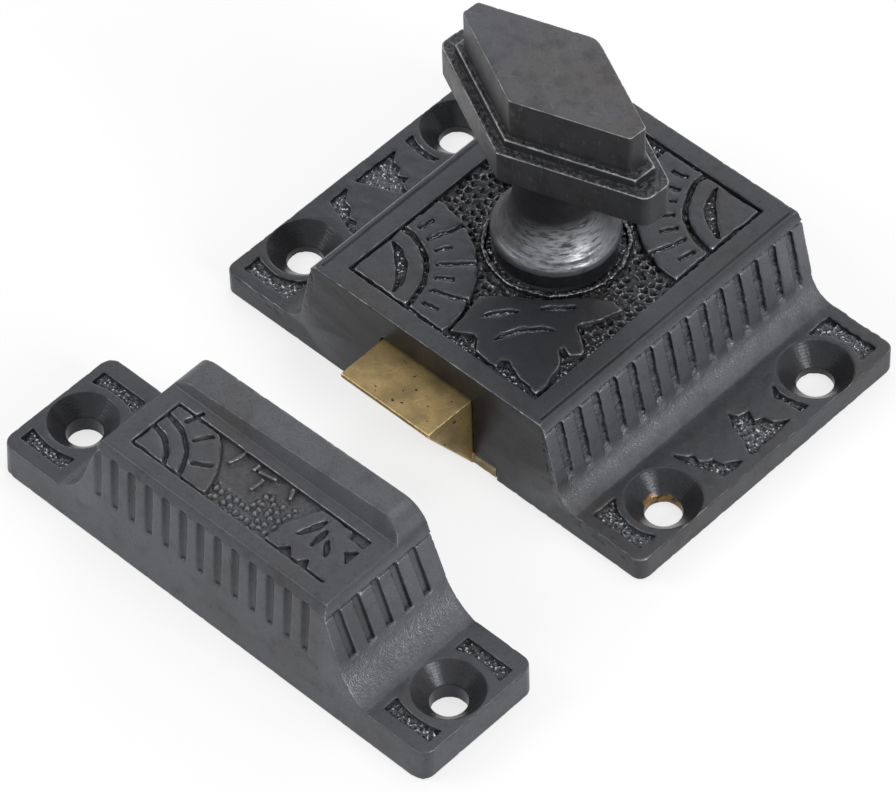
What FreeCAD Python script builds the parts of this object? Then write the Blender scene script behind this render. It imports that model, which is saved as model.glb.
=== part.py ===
import FreeCAD, Part

import math
import os
import re

import Sketcher

# Cupboard latch with a diamond turn knob, and the keeper that its bolt shoots into.
# Origin: middle of the latch plate's back face, on the knob's axis.
# X runs along the bolt face, Y away from the bolt, Z out of the door. Millimetres and degrees.

SIZES = [
    ("plate_length", 60.0, "latch plate along X"),
    ("plate_width", 39.7, "latch plate along Y"),
    ("plate_thick", 3.1, "ears of the latch plate"),
    ("plate_corner", 1.2, "rounding of the plate's corners"),
    ("ear_length", 9.2, "ear outside the block's foot, along X"),
    ("block_height", 13.9, "top of the raised block above the back"),
    ("bevel_run", 0.75, "bevel at the ends of the block's top, along X"),
    ("bevel_drop", 0.9, "the same bevel, along Z"),
    ("line_depth", 0.3, "thin line under the bevel, depth"),
    ("line_width", 0.35, "thin line under the bevel, width"),
    ("slope_run", 1.5, "fluted slope of the block's end, along X"),
    ("cove_height", 6.1, "where the slope turns into the cove"),
    ("cove_run", 2.5, "cove at the block's foot, along X"),
    ("cove_radius", 3.2, "radius of that cove"),
    ("flute_count", 14, "flutes on each end of the block"),
    ("flute_margin", 2.2, "first flute from the end of the row"),
    ("flute_width", 1.0, "flute"),
    ("flute_depth", 0.4, "flute"),
    ("flute_foot", 5.0, "lower end of the flutes above the back"),
    ("hole_inset_x", 4.15, "latch screw holes from the plate's ends"),
    ("hole_inset_y", 8.0, "latch screw holes from the plate's sides"),
    ("hole_dia", 4.0, "screw hole"),
    ("rim_dia", 8.2, "countersink at the face"),
    ("recess_depth", 0.45, "sunk ornament of the ears"),
    ("recess_margin", 1.5, "plain rim outside the sunk ornament"),
    ("recess_inset", 1.2, "plain strip between the cove and the sunk ornament"),
    ("rim_land", 0.8, "plain ring round a countersink"),
    ("rim_strip", 0.8, "sunk strip on the inner side of a back hole"),
    ("panel_border_x", 2.7, "plain border of the sunk panel, along X"),
    ("panel_border_y", 2.35, "plain border of the sunk panel, along Y"),
    ("panel_depth", 0.6, "sunk panel"),
    ("drawn_length", 26.7, "panel length that its ornament is drawn for"),
    ("drawn_width", 35.0, "panel width that its ornament is drawn for"),
    ("ornament_margin", 0.4, "gap between an ornament and the panel's edge"),
    ("ornament_depth", 0.5, "grooves cut in an ornament"),
    ("ring_outside", 15.8, "raised ring round the knob's foot"),
    ("ring_inside", 14.8, "the same ring, inside"),
    ("fan_radius", 12.9, "corner fan"),
    ("fan_lens_reach", 5.6, "ends of the fan's crescent, from its corner"),
    ("fan_lens_outer", 5.6, "outer arc of the crescent"),
    ("fan_lens_inner", 17.0, "inner arc of the crescent"),
    ("fan_groove", 7.3, "arc groove of the fan, inner radius"),
    ("fan_groove_width", 0.6, "arc groove of the fan"),
    ("fan_slot_first", 9.3, "direction of the fan's first slot"),
    ("fan_slot_step", 12.1, "slot to slot"),
    ("fan_slot_width", 0.55, "radial slot"),
    ("fan_long_start", 8.6, "long slots, inner end"),
    ("fan_long_end", 13.2, "long slots, outer end, past the fan"),
    ("fan_short_start", 8.7, "short slots, inner end"),
    ("fan_short_end", 10.7, "short slots, outer end"),
    ("slit_width", 0.75, "vein slits of a leaf at their middle"),
    ("hollow_height", 10.4, "roof of the hollow above the back"),
    ("front_wall", 3.3, "wall that the bolt comes through"),
    ("rear_wall", 2.0, "wall behind the spring"),
    ("boss_dia", 12.0, "boss round the spindle, under the roof"),
    ("spindle_dia", 7.0, "knob spindle"),
    ("running_gap", 0.05, "spindle in its bore, on the radius"),
    ("end_play", 0.2, "cam and tail under the boss"),
    ("square_size", 5.0, "squared end of the spindle"),
    ("square_fit", 0.02, "square in the cam, on each side"),
    ("rivet_dia", 6.2, "spindle end riveted over the cam"),
    ("rivet_thick", 0.35, "riveted end"),
    ("collar_dia", 13.1, "collar under the knob's foot"),
    ("collar_height", 2.2, "collar"),
    ("foot_gap", 0.1, "collar above the panel"),
    ("bead_dia", 13.9, "turned bead of the foot"),
    ("bead_height", 1.4, "turned bead"),
    ("bead_round", 0.95, "radius of the bead's edge"),
    ("bell_dia", 12.4, "foot of the bell above the bead"),
    ("bell_round", 9.0, "hollow of the bell"),
    ("neck_dia", 9.0, "waist of the neck"),
    ("neck_height", 23.0, "waist above the back"),
    ("neck_flare_dia", 11.0, "neck where it meets the head"),
    ("neck_flare", 8.0, "hollow under the head"),
    ("head_turn", -3.5, "turn of the head on its spindle"),
    ("under_reach", -2.35, "underside of the head beyond the diamond's tips"),
    ("under_side", -1.45, "underside of the head beyond the diamond's sides"),
    ("under_tip", 1.2, "cut tips of the underside, wider than the diamond's"),
    ("head_base", 27.6, "underside of the head above the back"),
    ("tier_base", 29.1, "lower edge of the broad tier"),
    ("tier_reach", 2.95, "broad tier beyond the diamond's tips"),
    ("tier_side", 1.85, "broad tier beyond the diamond's sides"),
    ("tier_tip", 1.2, "cut tips of the broad tier, wider than the diamond's"),
    ("tier_height", 4.1, "side of the broad tier"),
    ("tier_round", 1.2, "rounding of the broad tier's tips"),
    ("step_reach", 0.95, "step beyond the diamond's tips"),
    ("step_side", 0.7, "step beyond the diamond's sides"),
    ("step_tip", 0.6, "cut tips of the step, wider than the diamond's"),
    ("step_height", 1.1, "step"),
    ("diamond_length", 24.7, "diamond top, tip to tip"),
    ("diamond_width", 12.5, "diamond across"),
    ("diamond_tip", 2.2, "cut tips of the diamond"),
    ("diamond_round", 0.5, "rounding of the diamond's and the step's upright edges"),
    ("diamond_worn", 2.6, "rounding of the diamond's corner away from the bolt"),
    ("diamond_top", 39.5, "top of the knob above the back"),
    ("cam_base", 1.4, "underside of the cam above the back"),
    ("cam_thick", 2.4, "cam"),
    ("cam_hub_dia", 8.8, "cam hub"),
    ("cam_radius", 6.0, "base circle of the cam's involute: bolt travel per radian"),
    ("cam_lead", 0.15, "roll of the involute at rest, radians"),
    ("cam_turn", 57.0, "turn of the knob that draws the bolt"),
    ("follower_gap", 0.04, "cam to the bolt's lug at rest"),
    ("bolt_width", 12.6, "bolt along X"),
    ("bolt_top", 10.0, "top of the bolt above the back"),
    ("bolt_reach", 6.3, "nose in front of the case"),
    ("nose_land", 0.5, "blunt edge of the nose"),
    ("floor_gap", 0.1, "bolt above the back"),
    ("flange_length", 19.0, "foot and tail of the bolt along X"),
    ("flange_thick", 1.6, "foot of the bolt, its upper side above the back"),
    ("slide_gap", 0.2, "bolt in its slots, on each side"),
    ("shoulder_length", 4.4, "full-width shoulder behind the front wall, along Y"),
    ("tail_base", 1.1, "underside of the tail above the back"),
    ("rail_width", 3.4, "tail rail beside the cam"),
    ("lug_width", 4.6, "lug that the cam pushes, along X"),
    ("bar_start", 6.4, "cross bar of the tail, side towards the spindle"),
    ("bar_width", 2.0, "cross bar along Y"),
    ("block_tail", 3.3, "bolt block behind the front of its shoulder"),
    ("stub_length", 2.8, "shoulder's stub opposite the rail, along Y"),
    ("post_length", 6.6, "post that the spring bears on, along X"),
    ("post_top", 7.2, "the same post above the back"),
    ("spring_axis", 4.6, "spring above the back"),
    ("spring_dia", 4.6, "spring outside"),
    ("wire_dia", 0.6, "spring wire"),
    ("spring_turns", 4, "turns"),
    ("spring_gap", 0.05, "spring to its seats"),
    ("spigot_dia", 2.9, "spigot inside the spring"),
    ("spigot_length", 2.2, "spigot"),
    ("cover_ledge", 4.5, "back cover beyond the hollow, along X"),
    ("cover_front", -10.0, "front edge of the back cover, Y"),
    ("cover_lip", 1.0, "rim of the case behind the cover"),
    ("cover_thick", 0.8, "back cover"),
    ("cover_corner", 2.0, "corners of the back cover"),
    ("cover_fit", 0.1, "cover in its rebate"),
    ("screw_inset", 1.8, "cover screws from the hollow, along X"),
    ("screw_place", 5.0, "cover screws, Y"),
    ("screw_dia", 2.0, "cover screw"),
    ("screw_head_dia", 3.2, "head of a cover screw"),
    ("screw_length", 4.0, "cover screw"),
    ("screw_slot", 0.4, "slot of a cover screw"),
    ("thread_gap", 0.05, "cover screw in its hole, on the radius"),
    ("keeper_x", 0.8, "middle of the keeper, X"),
    ("keeper_y", -45.2, "middle of the keeper, Y"),
    ("keeper_length", 60.9, "keeper along X"),
    ("keeper_width", 16.4, "keeper along Y"),
    ("keeper_thick", 4.0, "ears of the keeper"),
    ("keeper_corner", 1.5, "rounding of the keeper's corners"),
    ("keeper_hole_inset", 4.25, "keeper screw holes from its ends"),
    ("keeper_rim_dia", 7.8, "countersink of the keeper at the face"),
    ("strip_length", 6.2, "sunk strips beside the keeper's holes, along X"),
    ("strip_start", 4.2, "ends of a strip, from the hole along Y"),
    ("strip_end", 6.1, "outer edge of a strip, from the hole along Y"),
    ("strip_arc", 9.0, "arc of a strip's inner edge"),
    ("keeper_top", 14.6, "border of the keeper's panel above the back"),
    ("keeper_ear", 8.45, "ear outside the keeper's foot, along X"),
    ("keeper_lean", 1.15, "lean of the front face, from the back to the bevel"),
    ("keeper_bevel_run", 0.75, "bevel along the front edge, along Y"),
    ("keeper_bevel_drop", 1.0, "the same bevel, along Z"),
    ("keeper_end_run", 0.5, "bevel at the ends, along X"),
    ("keeper_end_drop", 1.3, "bevel at the ends, along Z"),
    ("keeper_slope_run", 1.9, "fluted slope of the keeper's ends, along X"),
    ("keeper_cove_height", 8.0, "where that slope turns into the cove"),
    ("keeper_cove_run", 3.7, "cove at the foot, along X"),
    ("keeper_cove_radius", 7.0, "radius of that cove"),
    ("ridge_top", 16.5, "ridge along the latch side, highest end"),
    ("ridge_low", 15.6, "ridge, lowest end"),
    ("ridge_width", 3.2, "top of the ridge along Y"),
    ("ridge_slope", 1.2, "inner face of the ridge, along Y"),
    ("ridge_shoulder", 3.0, "rounded shoulder at the ridge's highest end, along X"),
    ("ridge_low_shoulder", 2.2, "the same at its lowest end"),
    ("pocket_gap", 2.7, "bolt pocket beside the bolt, on each side"),
    ("pocket_deep", 11.0, "bolt pocket, from the latch side"),
    ("pocket_headroom", 1.2, "bolt pocket above the bolt"),
    ("front_flute_count", 13, "flutes on the keeper's front"),
    ("front_flute_margin", 1.1, "front flutes from the ends of the block's top"),
    ("front_flute_place", -1.2, "middle of the front flutes, from the keeper's middle"),
    ("front_flute_foot", 6.7, "lower end of the front flutes above the back"),
    ("front_flute_width", 1.1, "front flute, half round"),
    ("front_flute_fade", 0.3, "front flute, shallower at its lower end"),
    ("end_flute_count", 5, "flutes on each end of the keeper"),
    ("end_flute_margin", 2.8, "first end flute from the keeper's sides"),
    ("end_flute_foot", 7.6, "lower end of the end flutes above the back"),
    ("keeper_panel_border", 2.25, "plain border of the keeper's panel, along X"),
    ("keeper_panel_front", 3.7, "that panel's front edge from the keeper's front"),
    ("keeper_panel_back", 5.7, "that panel's back edge from the latch side"),
    ("small_drawn_length", 27.3, "panel length that the keeper's ornament is drawn for"),
    ("small_drawn_width", 7.0, "panel width that the keeper's ornament is drawn for"),
    ("small_margin", 0.25, "gap between an ornament and the keeper's panel edge"),
    ("small_fan_drop", 1.8, "centre of the keeper's fan in front of the panel"),
    ("small_fan_radius", 10.5, "keeper's fan"),
    ("small_groove", 0.5, "grooves and slots of the keeper's fan"),
    ("twig_width", 0.45, "strokes of the keeper's twig"),
    ("small_fan_first_arc", 4.7, "inner arc groove of that fan"),
    ("small_fan_second_arc", 6.7, "outer arc groove of that fan"),
    ("small_slot_start", 7.6, "slots of that fan, inner end"),
    ("small_slot_end", 10.0, "slots of that fan, outer end"),
    ("overcut", 1.0, "cutting outlines past the metal"),
]
NAMES = {name for name, value, meaning in SIZES}

# Leaf in a corner of the latch panel: distances from that corner, inwards along X and along Y.
LEAF = [
    (0.4, 0.5), (3.0, 1.0), (5.7, 2.0), (6.4, 1.6), (5.9, 0.5), (9.1, 0.6), (10.0, 2.0), (10.9, 2.1),
    (12.9, 1.0), (13.6, 4.9), (13.9, 6.4), (12.5, 7.9), (8.4, 10.7), (5.5, 13.7), (3.2, 15.2), (1.6, 15.0),
    (2.5, 12.2), (3.7, 10.2), (2.5, 9.5), (0.7, 8.1), (0.6, 7.5), (1.4, 6.6), (2.6, 7.0), (2.8, 6.5),
    (1.8, 5.7), (1.2, 4.7), (0.6, 2.3),
]
# Vein slits of that leaf: start and end, measured the same way, and the bow of the middle line between them.
SLITS = [
    ((11.9, 4.3), (9.1, 7.9), 0.15),
    ((8.4, 9.2), (5.1, 12.4), -0.2),
    ((8.9, 2.2), (4.2, 8.5), 1.0),
]
# Leaf at the end of the keeper's panel: distances from its front corner, inwards along X and along Y.
SMALL_LEAF = [
    (0.25, 0.25), (2.6, 0.25), (3.2, 1.4), (3.8, 0.25), (4.8, 0.25), (5.8, 1.3), (6.6, 0.25), (8.4, 0.25),
    (8.3, 2.9), (7.3, 5.3), (6.7, 6.75), (2.4, 6.75), (2.0, 5.9), (0.25, 5.9), (0.25, 5.2), (1.3, 4.3),
    (0.25, 3.3),
]
SMALL_SLITS = [
    ((5.1, 6.4), (6.6, 2.5), 0.25),
    ((4.5, 5.6), (4.4, 2.4), 0.15),
    ((3.6, 4.5), (2.2, 2.4), 0.0),
]
# Twig in the middle of the keeper's panel: strokes, X from the panel's middle and Y from its front.
TWIG = [
    ((-3.9, 6.75), (-4.4, 4.8)), ((-1.7, 6.75), (-1.8, 5.8)), ((-1.2, 6.05), (0.9, 6.4)),
    ((-0.1, 5.6), (-0.3, 3.7)), ((2.9, 6.7), (3.6, 5.5)),
]
# Sunk ornament along the outer rim of a latch ear: distances from that rim and along Y.
EAR_PITS = [
    [
        (5.6, 1.2), (4.4, 1.6), (4.0, 2.9), (2.6, 2.3), (2.4, 3.4), (1.1, 3.5), (0.0, 5.0), (0.0, -1.4),
        (2.0, -0.4), (3.8, 0.2),
    ],
    [
        (6.2, -6.9), (4.6, -6.1), (4.3, -5.4), (3.2, -5.6), (2.4, -4.4), (1.2, -4.2), (0.0, -2.3),
        (0.0, -5.4), (2.3, -6.1), (4.5, -6.8),
    ],
]
SMALL_FAN_SLOTS = (32, 54, 73)

doc = FreeCAD.newDocument("cupboard_latch")
sheet = doc.addObject("Spreadsheet::Sheet", "Sizes")
for row, (name, value, meaning) in enumerate(SIZES, start=1):
    sheet.set(f"A{row}", meaning)
    sheet.set(f"B{row}", str(value))
    sheet.setAlias(f"B{row}", name)
doc.recompute()


def number(expression):
    """Value of an expression on the sheet's names."""
    return float(sheet.evalExpression(expression))


def bound(expression):
    """The same expression as another object of the document reads it."""
    return re.sub(r"[a-z_]+", lambda word: f"Sizes.{word[0]}" if word[0] in NAMES else word[0], expression)


def new_body(label):
    """An empty body that becomes the sub-part of that name."""
    body = doc.addObject("PartDesign::Body", label)
    body.Label = label
    return body


def origin_feature(body, role):
    """One of the body's own origin planes or axes."""
    return next(item for item in body.Origin.OriginFeatures if item.Role == role)


def new_sketch(body, name, plane, height="0"):
    """A sketch on one of the body's origin planes, raised along the plane's normal."""
    sketch = body.newObject("Sketcher::SketchObject", name)
    sketch.AttachmentSupport = [(origin_feature(body, plane), "")]
    sketch.MapMode = "FlatFace"
    sketch.setExpression("AttachmentOffset.Base.z", bound(height))
    return sketch


def arc_between(start, end, radius, side):
    """Arc from start to end with its centre on the left (side 1) or the right (side -1)."""
    chord = end - start
    across = FreeCAD.Vector(-chord.y, chord.x, 0).normalize()
    reach = math.sqrt(radius ** 2 - (chord.Length / 2) ** 2)
    centre = (start + end) / 2 + across * reach * side
    first, last = (start, end) if side > 0 else (end, start)
    angles = [math.atan2(place.y - centre.y, place.x - centre.x) for place in (first, last)]
    return Part.ArcOfCircle(Part.Circle(centre, FreeCAD.Vector(0, 0, 1), radius), *angles)


def point_rules(edge, end, x, y):
    """Rules that hold one end of an edge at x and y, both expressions."""
    rules = []
    for kind, axis, expression in (("DistanceX", -2, x), ("DistanceY", -1, y)):
        if expression == "0":
            rules.append((Sketcher.Constraint("PointOnObject", edge, end, axis), None))
        else:
            rules.append((Sketcher.Constraint(kind, -1, 1, edge, end, number(expression)), expression))
    return rules


def add_rules(sketch, rules):
    """Add rules to a sketch, and bind each one that has an expression."""
    first = sketch.ConstraintCount
    sketch.addConstraint([rule for rule, expression in rules])
    for index, (rule, expression) in enumerate(rules, start=first):
        if expression:
            sketch.setExpression(f"Constraints[{index}]", bound(expression))


def outline(sketch, corners):
    """One closed outline. A corner is (x, y), with (radius, side) added where an arc leaves it."""
    places = [FreeCAD.Vector(number(corner[0]), number(corner[1]), 0) for corner in corners]
    first = sketch.GeometryCount
    shapes, ends, rules = [], [], []
    for index, corner in enumerate(corners):
        start, end = places[index], places[(index + 1) % len(places)]
        if len(corner) == 2:
            shapes.append(Part.LineSegment(start, end))
            ends.append((1, 2))
        else:
            shapes.append(arc_between(start, end, number(corner[2]), corner[3]))
            ends.append((1, 2) if corner[3] > 0 else (2, 1))
    sketch.addGeometry(shapes, False)
    for index, corner in enumerate(corners):
        edge = first + index
        before = (index - 1) % len(corners)
        joint = ("Coincident", first + before, ends[before][1], edge, ends[index][0])
        rules.append((Sketcher.Constraint(*joint), None))
        rules += point_rules(edge, ends[index][0], corner[0], corner[1])
        if len(corner) > 2:
            rules.append((Sketcher.Constraint("Radius", edge, number(corner[2])), corner[2]))
    add_rules(sketch, rules)


def rectangle(sketch, left, front, right, back):
    """Rectangle between four expressions."""
    outline(sketch, [(left, front), (right, front), (right, back), (left, back)])


def circle(sketch, x, y, diameter):
    """Circle at x and y, all three expressions."""
    centre = FreeCAD.Vector(number(x), number(y), 0)
    shape = Part.Circle(centre, FreeCAD.Vector(0, 0, 1), number(diameter) / 2)
    edge = sketch.addGeometry(shape, False)
    size = (Sketcher.Constraint("Diameter", edge, number(diameter)), diameter)
    add_rules(sketch, point_rules(edge, 3, x, y) + [size])


def mirrored(corners):
    """The same corners on the other side of the middle, walked the other way."""
    turned = []
    for index in range(len(corners) - 1, -1, -1):
        arc = corners[index - 1][2:] if index > 0 else ()
        turned.append((f"-({corners[index][0]})", corners[index][1]) + arc)
    return turned


def finish_feature(body, feature, grows, base=None):
    """Recompute, and stop if a feature added or cut nothing."""
    base = base or feature.BaseFeature
    doc.recompute()
    before = base.Shape.Volume if base else 0.0
    after = feature.Shape.Volume
    if (after > before) != grows or abs(after - before) < 1e-6:
        raise RuntimeError(f"{body.Label} {feature.Name} changes the volume from {before} to {after}")
    return feature


def pad(body, sketch, length, symmetric=False, reverse=False):
    """Add the sketch's outline over a length."""
    feature = body.newObject("PartDesign::Pad", f"{sketch.Name}_pad")
    feature.Profile = sketch
    feature.setExpression("Length", bound(length))
    feature.SideType = "Symmetric" if symmetric else "One side"
    feature.Reversed = reverse
    return finish_feature(body, feature, True)


def pocket(body, sketch, length=None, symmetric=False, reverse=False, lean=None):
    """Cut the sketch's outline over a length, or right through, straight or leaning along Y."""
    feature = body.newObject("PartDesign::Pocket", f"{sketch.Name}_cut")
    feature.Profile = sketch
    feature.SideType = "Symmetric" if symmetric else "One side"
    feature.Reversed = reverse
    if lean is not None:
        feature.UseCustomVector = True
        feature.Direction = FreeCAD.Vector(0, number(lean), -1)
        feature.setExpression("Direction.y", bound(lean))
    if length is None:
        feature.Type = "ThroughAll"
    else:
        feature.setExpression("Length", bound(length))
    return finish_feature(body, feature, False)


def revolve(body, sketch):
    """Turn the sketch's outline round its vertical axis."""
    feature = body.newObject("PartDesign::Revolution", f"{sketch.Name}_turned")
    feature.Profile = sketch
    feature.ReferenceAxis = (sketch, ["V_Axis"])
    feature.Angle = 360
    return finish_feature(body, feature, True)


def row_of_cuts(body, cut, axis, pitch, count):
    """Repeat a cut along one of the body's axes."""
    feature = body.newObject("PartDesign::LinearPattern", f"{cut.Name}_row")
    feature.Originals = [cut]
    feature.Direction = (origin_feature(body, axis), [""])
    feature.Mode = "Extent"
    feature.setExpression("Length", bound(f"{pitch} * ({count} - 1)"))
    feature.setExpression("Occurrences", bound(count))
    body.Tip = feature
    return finish_feature(body, feature, False, cut)


def dress_edges(body, kind, property_name, size, chosen):
    """Fillet or chamfer the edges that a test on each edge chooses."""
    base = body.Tip
    names = [f"Edge{index}" for index, edge in enumerate(base.Shape.Edges, start=1) if chosen(edge)]
    feature = body.newObject(kind, f"{base.Name}_edges")
    feature.Base = (base, names)
    feature.setExpression(property_name, bound(size))
    doc.recompute()
    return feature


def round_corners(body, radius):
    """Round the upright edges at the corners of a plate that has just been padded."""
    box = body.Tip.Shape.BoundBox

    def at_corner(edge):
        own = edge.BoundBox
        upright = own.XLength < 1e-6 and own.YLength < own.ZLength / 2
        at_end = min(abs(own.XMin - box.XMin), abs(own.XMax - box.XMax)) < 1e-6
        at_side = min(abs(own.YMin - box.YMin), abs(own.YMax - box.YMax)) < 1e-6
        return upright and at_end and at_side

    return dress_edges(body, "PartDesign::Fillet", "Radius", radius, at_corner)


def countersink(body, height, bore, rim):
    """Chamfer every round hole's edge at a height, from the bore out to the rim."""
    level, radius = number(height), number(bore) / 2

    def at_hole(edge):
        flat = edge.BoundBox.ZLength < 1e-6 and abs(edge.BoundBox.ZMin - level) < 1e-6
        return flat and isinstance(edge.Curve, Part.Circle) and abs(edge.Curve.Radius - radius) < 1e-6

    return dress_edges(body, "PartDesign::Chamfer", "Size", f"({rim} - {bore}) / 2", at_hole)


def slot_corners(x, y, direction, start, end, width, sign="1"):
    """Corners of a straight slot that points away from x and y, between two distances."""
    ahead, across = f"cos({direction})", f"sin({direction})"
    corners = []
    for reach, half in ((start, -0.5), (end, -0.5), (end, 0.5), (start, 0.5)):
        along_x = f"{x} + {reach} * {ahead} - {half} * {width} * {across}"
        along_y = f"{y} + {reach} * {across} + {half} * {width} * {ahead}"
        corners.append((f"{sign} * ({along_x})", f"{sign} * ({along_y})"))
    return corners


def slit_corners(place, scale, start, end, bow, width):
    """Corners of a pointed slit: two arcs, either side of a middle line that is bowed to the left."""
    chord = f"{math.dist(start, end):.3f} * {scale}"
    corners = []
    for here, way, half in ((start, -1, 0.5), (end, 1, -0.5)):
        rise = f"({bow} * {scale} + {half} * {width})"
        centre_side = way if number(rise) > 0 else -way
        arc = (f"(({chord}) ^ 2 / 4 + {rise} ^ 2) / (2 * abs({rise}))", centre_side)
        corners.append(place(str(here[0]), str(here[1])) + arc)
    return corners


# Latch case: ears, block with fluted ends, sunk and carved panel, hollow at the back.

FOOT = "plate_length / 2 - ear_length"
COVE_TOP = f"{FOOT} - cove_run"
SLOPE_TOP = f"{COVE_TOP} - slope_run"
BLOCK_END = f"{SLOPE_TOP} - bevel_run"
SLOPE_LEVEL = "block_height - bevel_drop"
FLUTE_PITCH = "(plate_width - 2 * flute_margin) / (flute_count - 1)"
HOLE_X = "(plate_length / 2 - hole_inset_x)"
HOLE_Y = "(plate_width / 2 - hole_inset_y)"
PANEL_X = f"({BLOCK_END} - panel_border_x)"
PANEL_Y = "(plate_width / 2 - panel_border_y)"
DRAWN = f"min(2 * {PANEL_X} / drawn_length; 2 * {PANEL_Y} / drawn_width)"
FAN_X = f"-{PANEL_X} + ornament_margin"
FAN_Y = f"-{PANEL_Y} + ornament_margin"
PANEL_FLOOR = "block_height - panel_depth"
CAM_TOP = "cam_base + cam_thick"
BOSS_END = f"{CAM_TOP} + end_play"
FRONT = "-plate_width / 2"
HOLLOW = "flange_length / 2 + slide_gap"
FRONT_INSIDE = "-plate_width / 2 + front_wall"
REAR_INSIDE = "plate_width / 2 - rear_wall"
COVER_HALF = f"{HOLLOW} + cover_ledge"
COVER_REAR = "plate_width / 2 - cover_lip"
SCREW_X = f"({HOLLOW} + screw_inset)"


def case_profile(body):
    """Ears, coves, slopes and bevels in one section along X, carried across the plate's width."""
    right = [
        ("plate_length / 2", "0"),
        ("plate_length / 2", "plate_thick"),
        (FOOT, "plate_thick", "cove_radius", -1),
        (COVE_TOP, "cove_height"),
        (SLOPE_TOP, f"{SLOPE_LEVEL} - line_width"),
        (f"{SLOPE_TOP} - line_depth", f"{SLOPE_LEVEL} - line_width"),
        (f"{SLOPE_TOP} - line_depth", SLOPE_LEVEL),
        (SLOPE_TOP, SLOPE_LEVEL),
        (BLOCK_END, "block_height"),
    ]
    sketch = new_sketch(body, "case_section", "XZ_Plane")
    outline(sketch, right + mirrored(right))
    pad(body, sketch, "plate_width", symmetric=True)
    round_corners(body, "plate_corner")


def case_flutes(body):
    """Flutes down both fluted slopes, in one row of cuts along Y."""
    inner = [
        (f"{SLOPE_TOP} - flute_depth", f"{SLOPE_LEVEL} - line_width"),
        (f"{COVE_TOP} - flute_depth", "cove_height"),
        (f"{COVE_TOP} + flute_depth / 2", "flute_foot"),
    ]
    outer = [
        (FOOT, "flute_foot"),
        (FOOT, f"{SLOPE_LEVEL} - line_width"),
    ]
    sketch = new_sketch(body, "case_flute", "XZ_Plane", "plate_width / 2 - flute_margin")
    outline(sketch, inner + outer)
    outline(sketch, mirrored(inner + outer))
    cut = pocket(body, sketch, "flute_width", symmetric=True)
    row_of_cuts(body, cut, "Y_Axis", FLUTE_PITCH, "flute_count")


def case_holes(body):
    """Four countersunk screw holes in the ears."""
    sketch = new_sketch(body, "case_holes", "XY_Plane", "plate_thick")
    for x in (f"-{HOLE_X}", HOLE_X):
        for y in (f"-{HOLE_Y}", HOLE_Y):
            circle(sketch, x, y, "hole_dia")
    pocket(body, sketch)
    countersink(body, "plate_thick", "hole_dia", "rim_dia")


def case_ears(body):
    """Sunk ornament of the ears: strips beside the holes, and pits along the outer rims."""
    rim_x = "(plate_length / 2 - recess_margin)"
    rim_y = "(plate_width / 2 - recess_margin)"
    inner_x = f"({FOOT} + recess_inset)"
    land = "(rim_dia / 2 + rim_land)"
    reach = {x: f"sqrt({land} ^ 2 - ({x} - {HOLE_X}) ^ 2)" for x in (inner_x, rim_x)}
    drawn_y = f"2 * {PANEL_Y} / drawn_width"
    sketch = new_sketch(body, "case_ears", "XY_Plane", "plate_thick")
    for side in (1, -1):
        for end in (1, -1):
            outline(sketch, [
                (f"{side} * {inner_x}", f"{end} * ({HOLE_Y} + {reach[inner_x]})"),
                (f"{side} * {inner_x}", f"{end} * {rim_y}"),
                (f"{side} * {rim_x}", f"{end} * {rim_y}"),
                (f"{side} * {rim_x}", f"{end} * ({HOLE_Y} + {reach[rim_x]})", land, side * end),
            ])
        outline(sketch, [
            (f"{side} * {inner_x}", f"{HOLE_Y} - {reach[inner_x]}", land, side),
            (f"{side} * {rim_x}", f"{HOLE_Y} - {reach[rim_x]}"),
            (f"{side} * {rim_x}", f"{HOLE_Y} - {land} - rim_strip / 2"),
            (f"{side} * ({HOLE_X} - rim_land)", f"{HOLE_Y} - {land} - rim_strip"),
        ])
        for pit in EAR_PITS:
            outline(sketch, [
                (f"{side} * ({rim_x} - {inward})", f"{along} * {drawn_y}")
                for inward, along in pit
            ])
    pocket(body, sketch, "recess_depth")


def panel_leaf_place(sign):
    """Place of a point of the leaf in the panel corner right of the bolt, or in the one opposite."""
    def place(x, y):
        return (f"{sign} * ({PANEL_X} - ({x}) * {DRAWN})", f"{sign} * (({y}) * {DRAWN} - {PANEL_Y})")

    return place


def case_panel(body):
    """Sunk panel round the raised fans, leaves and ring."""
    sketch = new_sketch(body, "case_panel", "XY_Plane", "block_height")
    rectangle(sketch, f"-{PANEL_X}", f"-{PANEL_Y}", PANEL_X, PANEL_Y)
    circle(sketch, "0", "0", "ring_outside")
    circle(sketch, "0", "0", "ring_inside")
    fan = f"fan_radius * {DRAWN}"
    for sign in ("1", "-1"):
        outline(sketch, [
            (f"{sign} * ({FAN_X})", f"{sign} * ({FAN_Y})"),
            (f"{sign} * ({FAN_X} + {fan})", f"{sign} * ({FAN_Y})", fan, 1),
            (f"{sign} * ({FAN_X})", f"{sign} * ({FAN_Y} + {fan})"),
        ])
        place = panel_leaf_place(sign)
        outline(sketch, [place(str(x), str(y)) for x, y in LEAF])
    pocket(body, sketch, "panel_depth")


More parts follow.
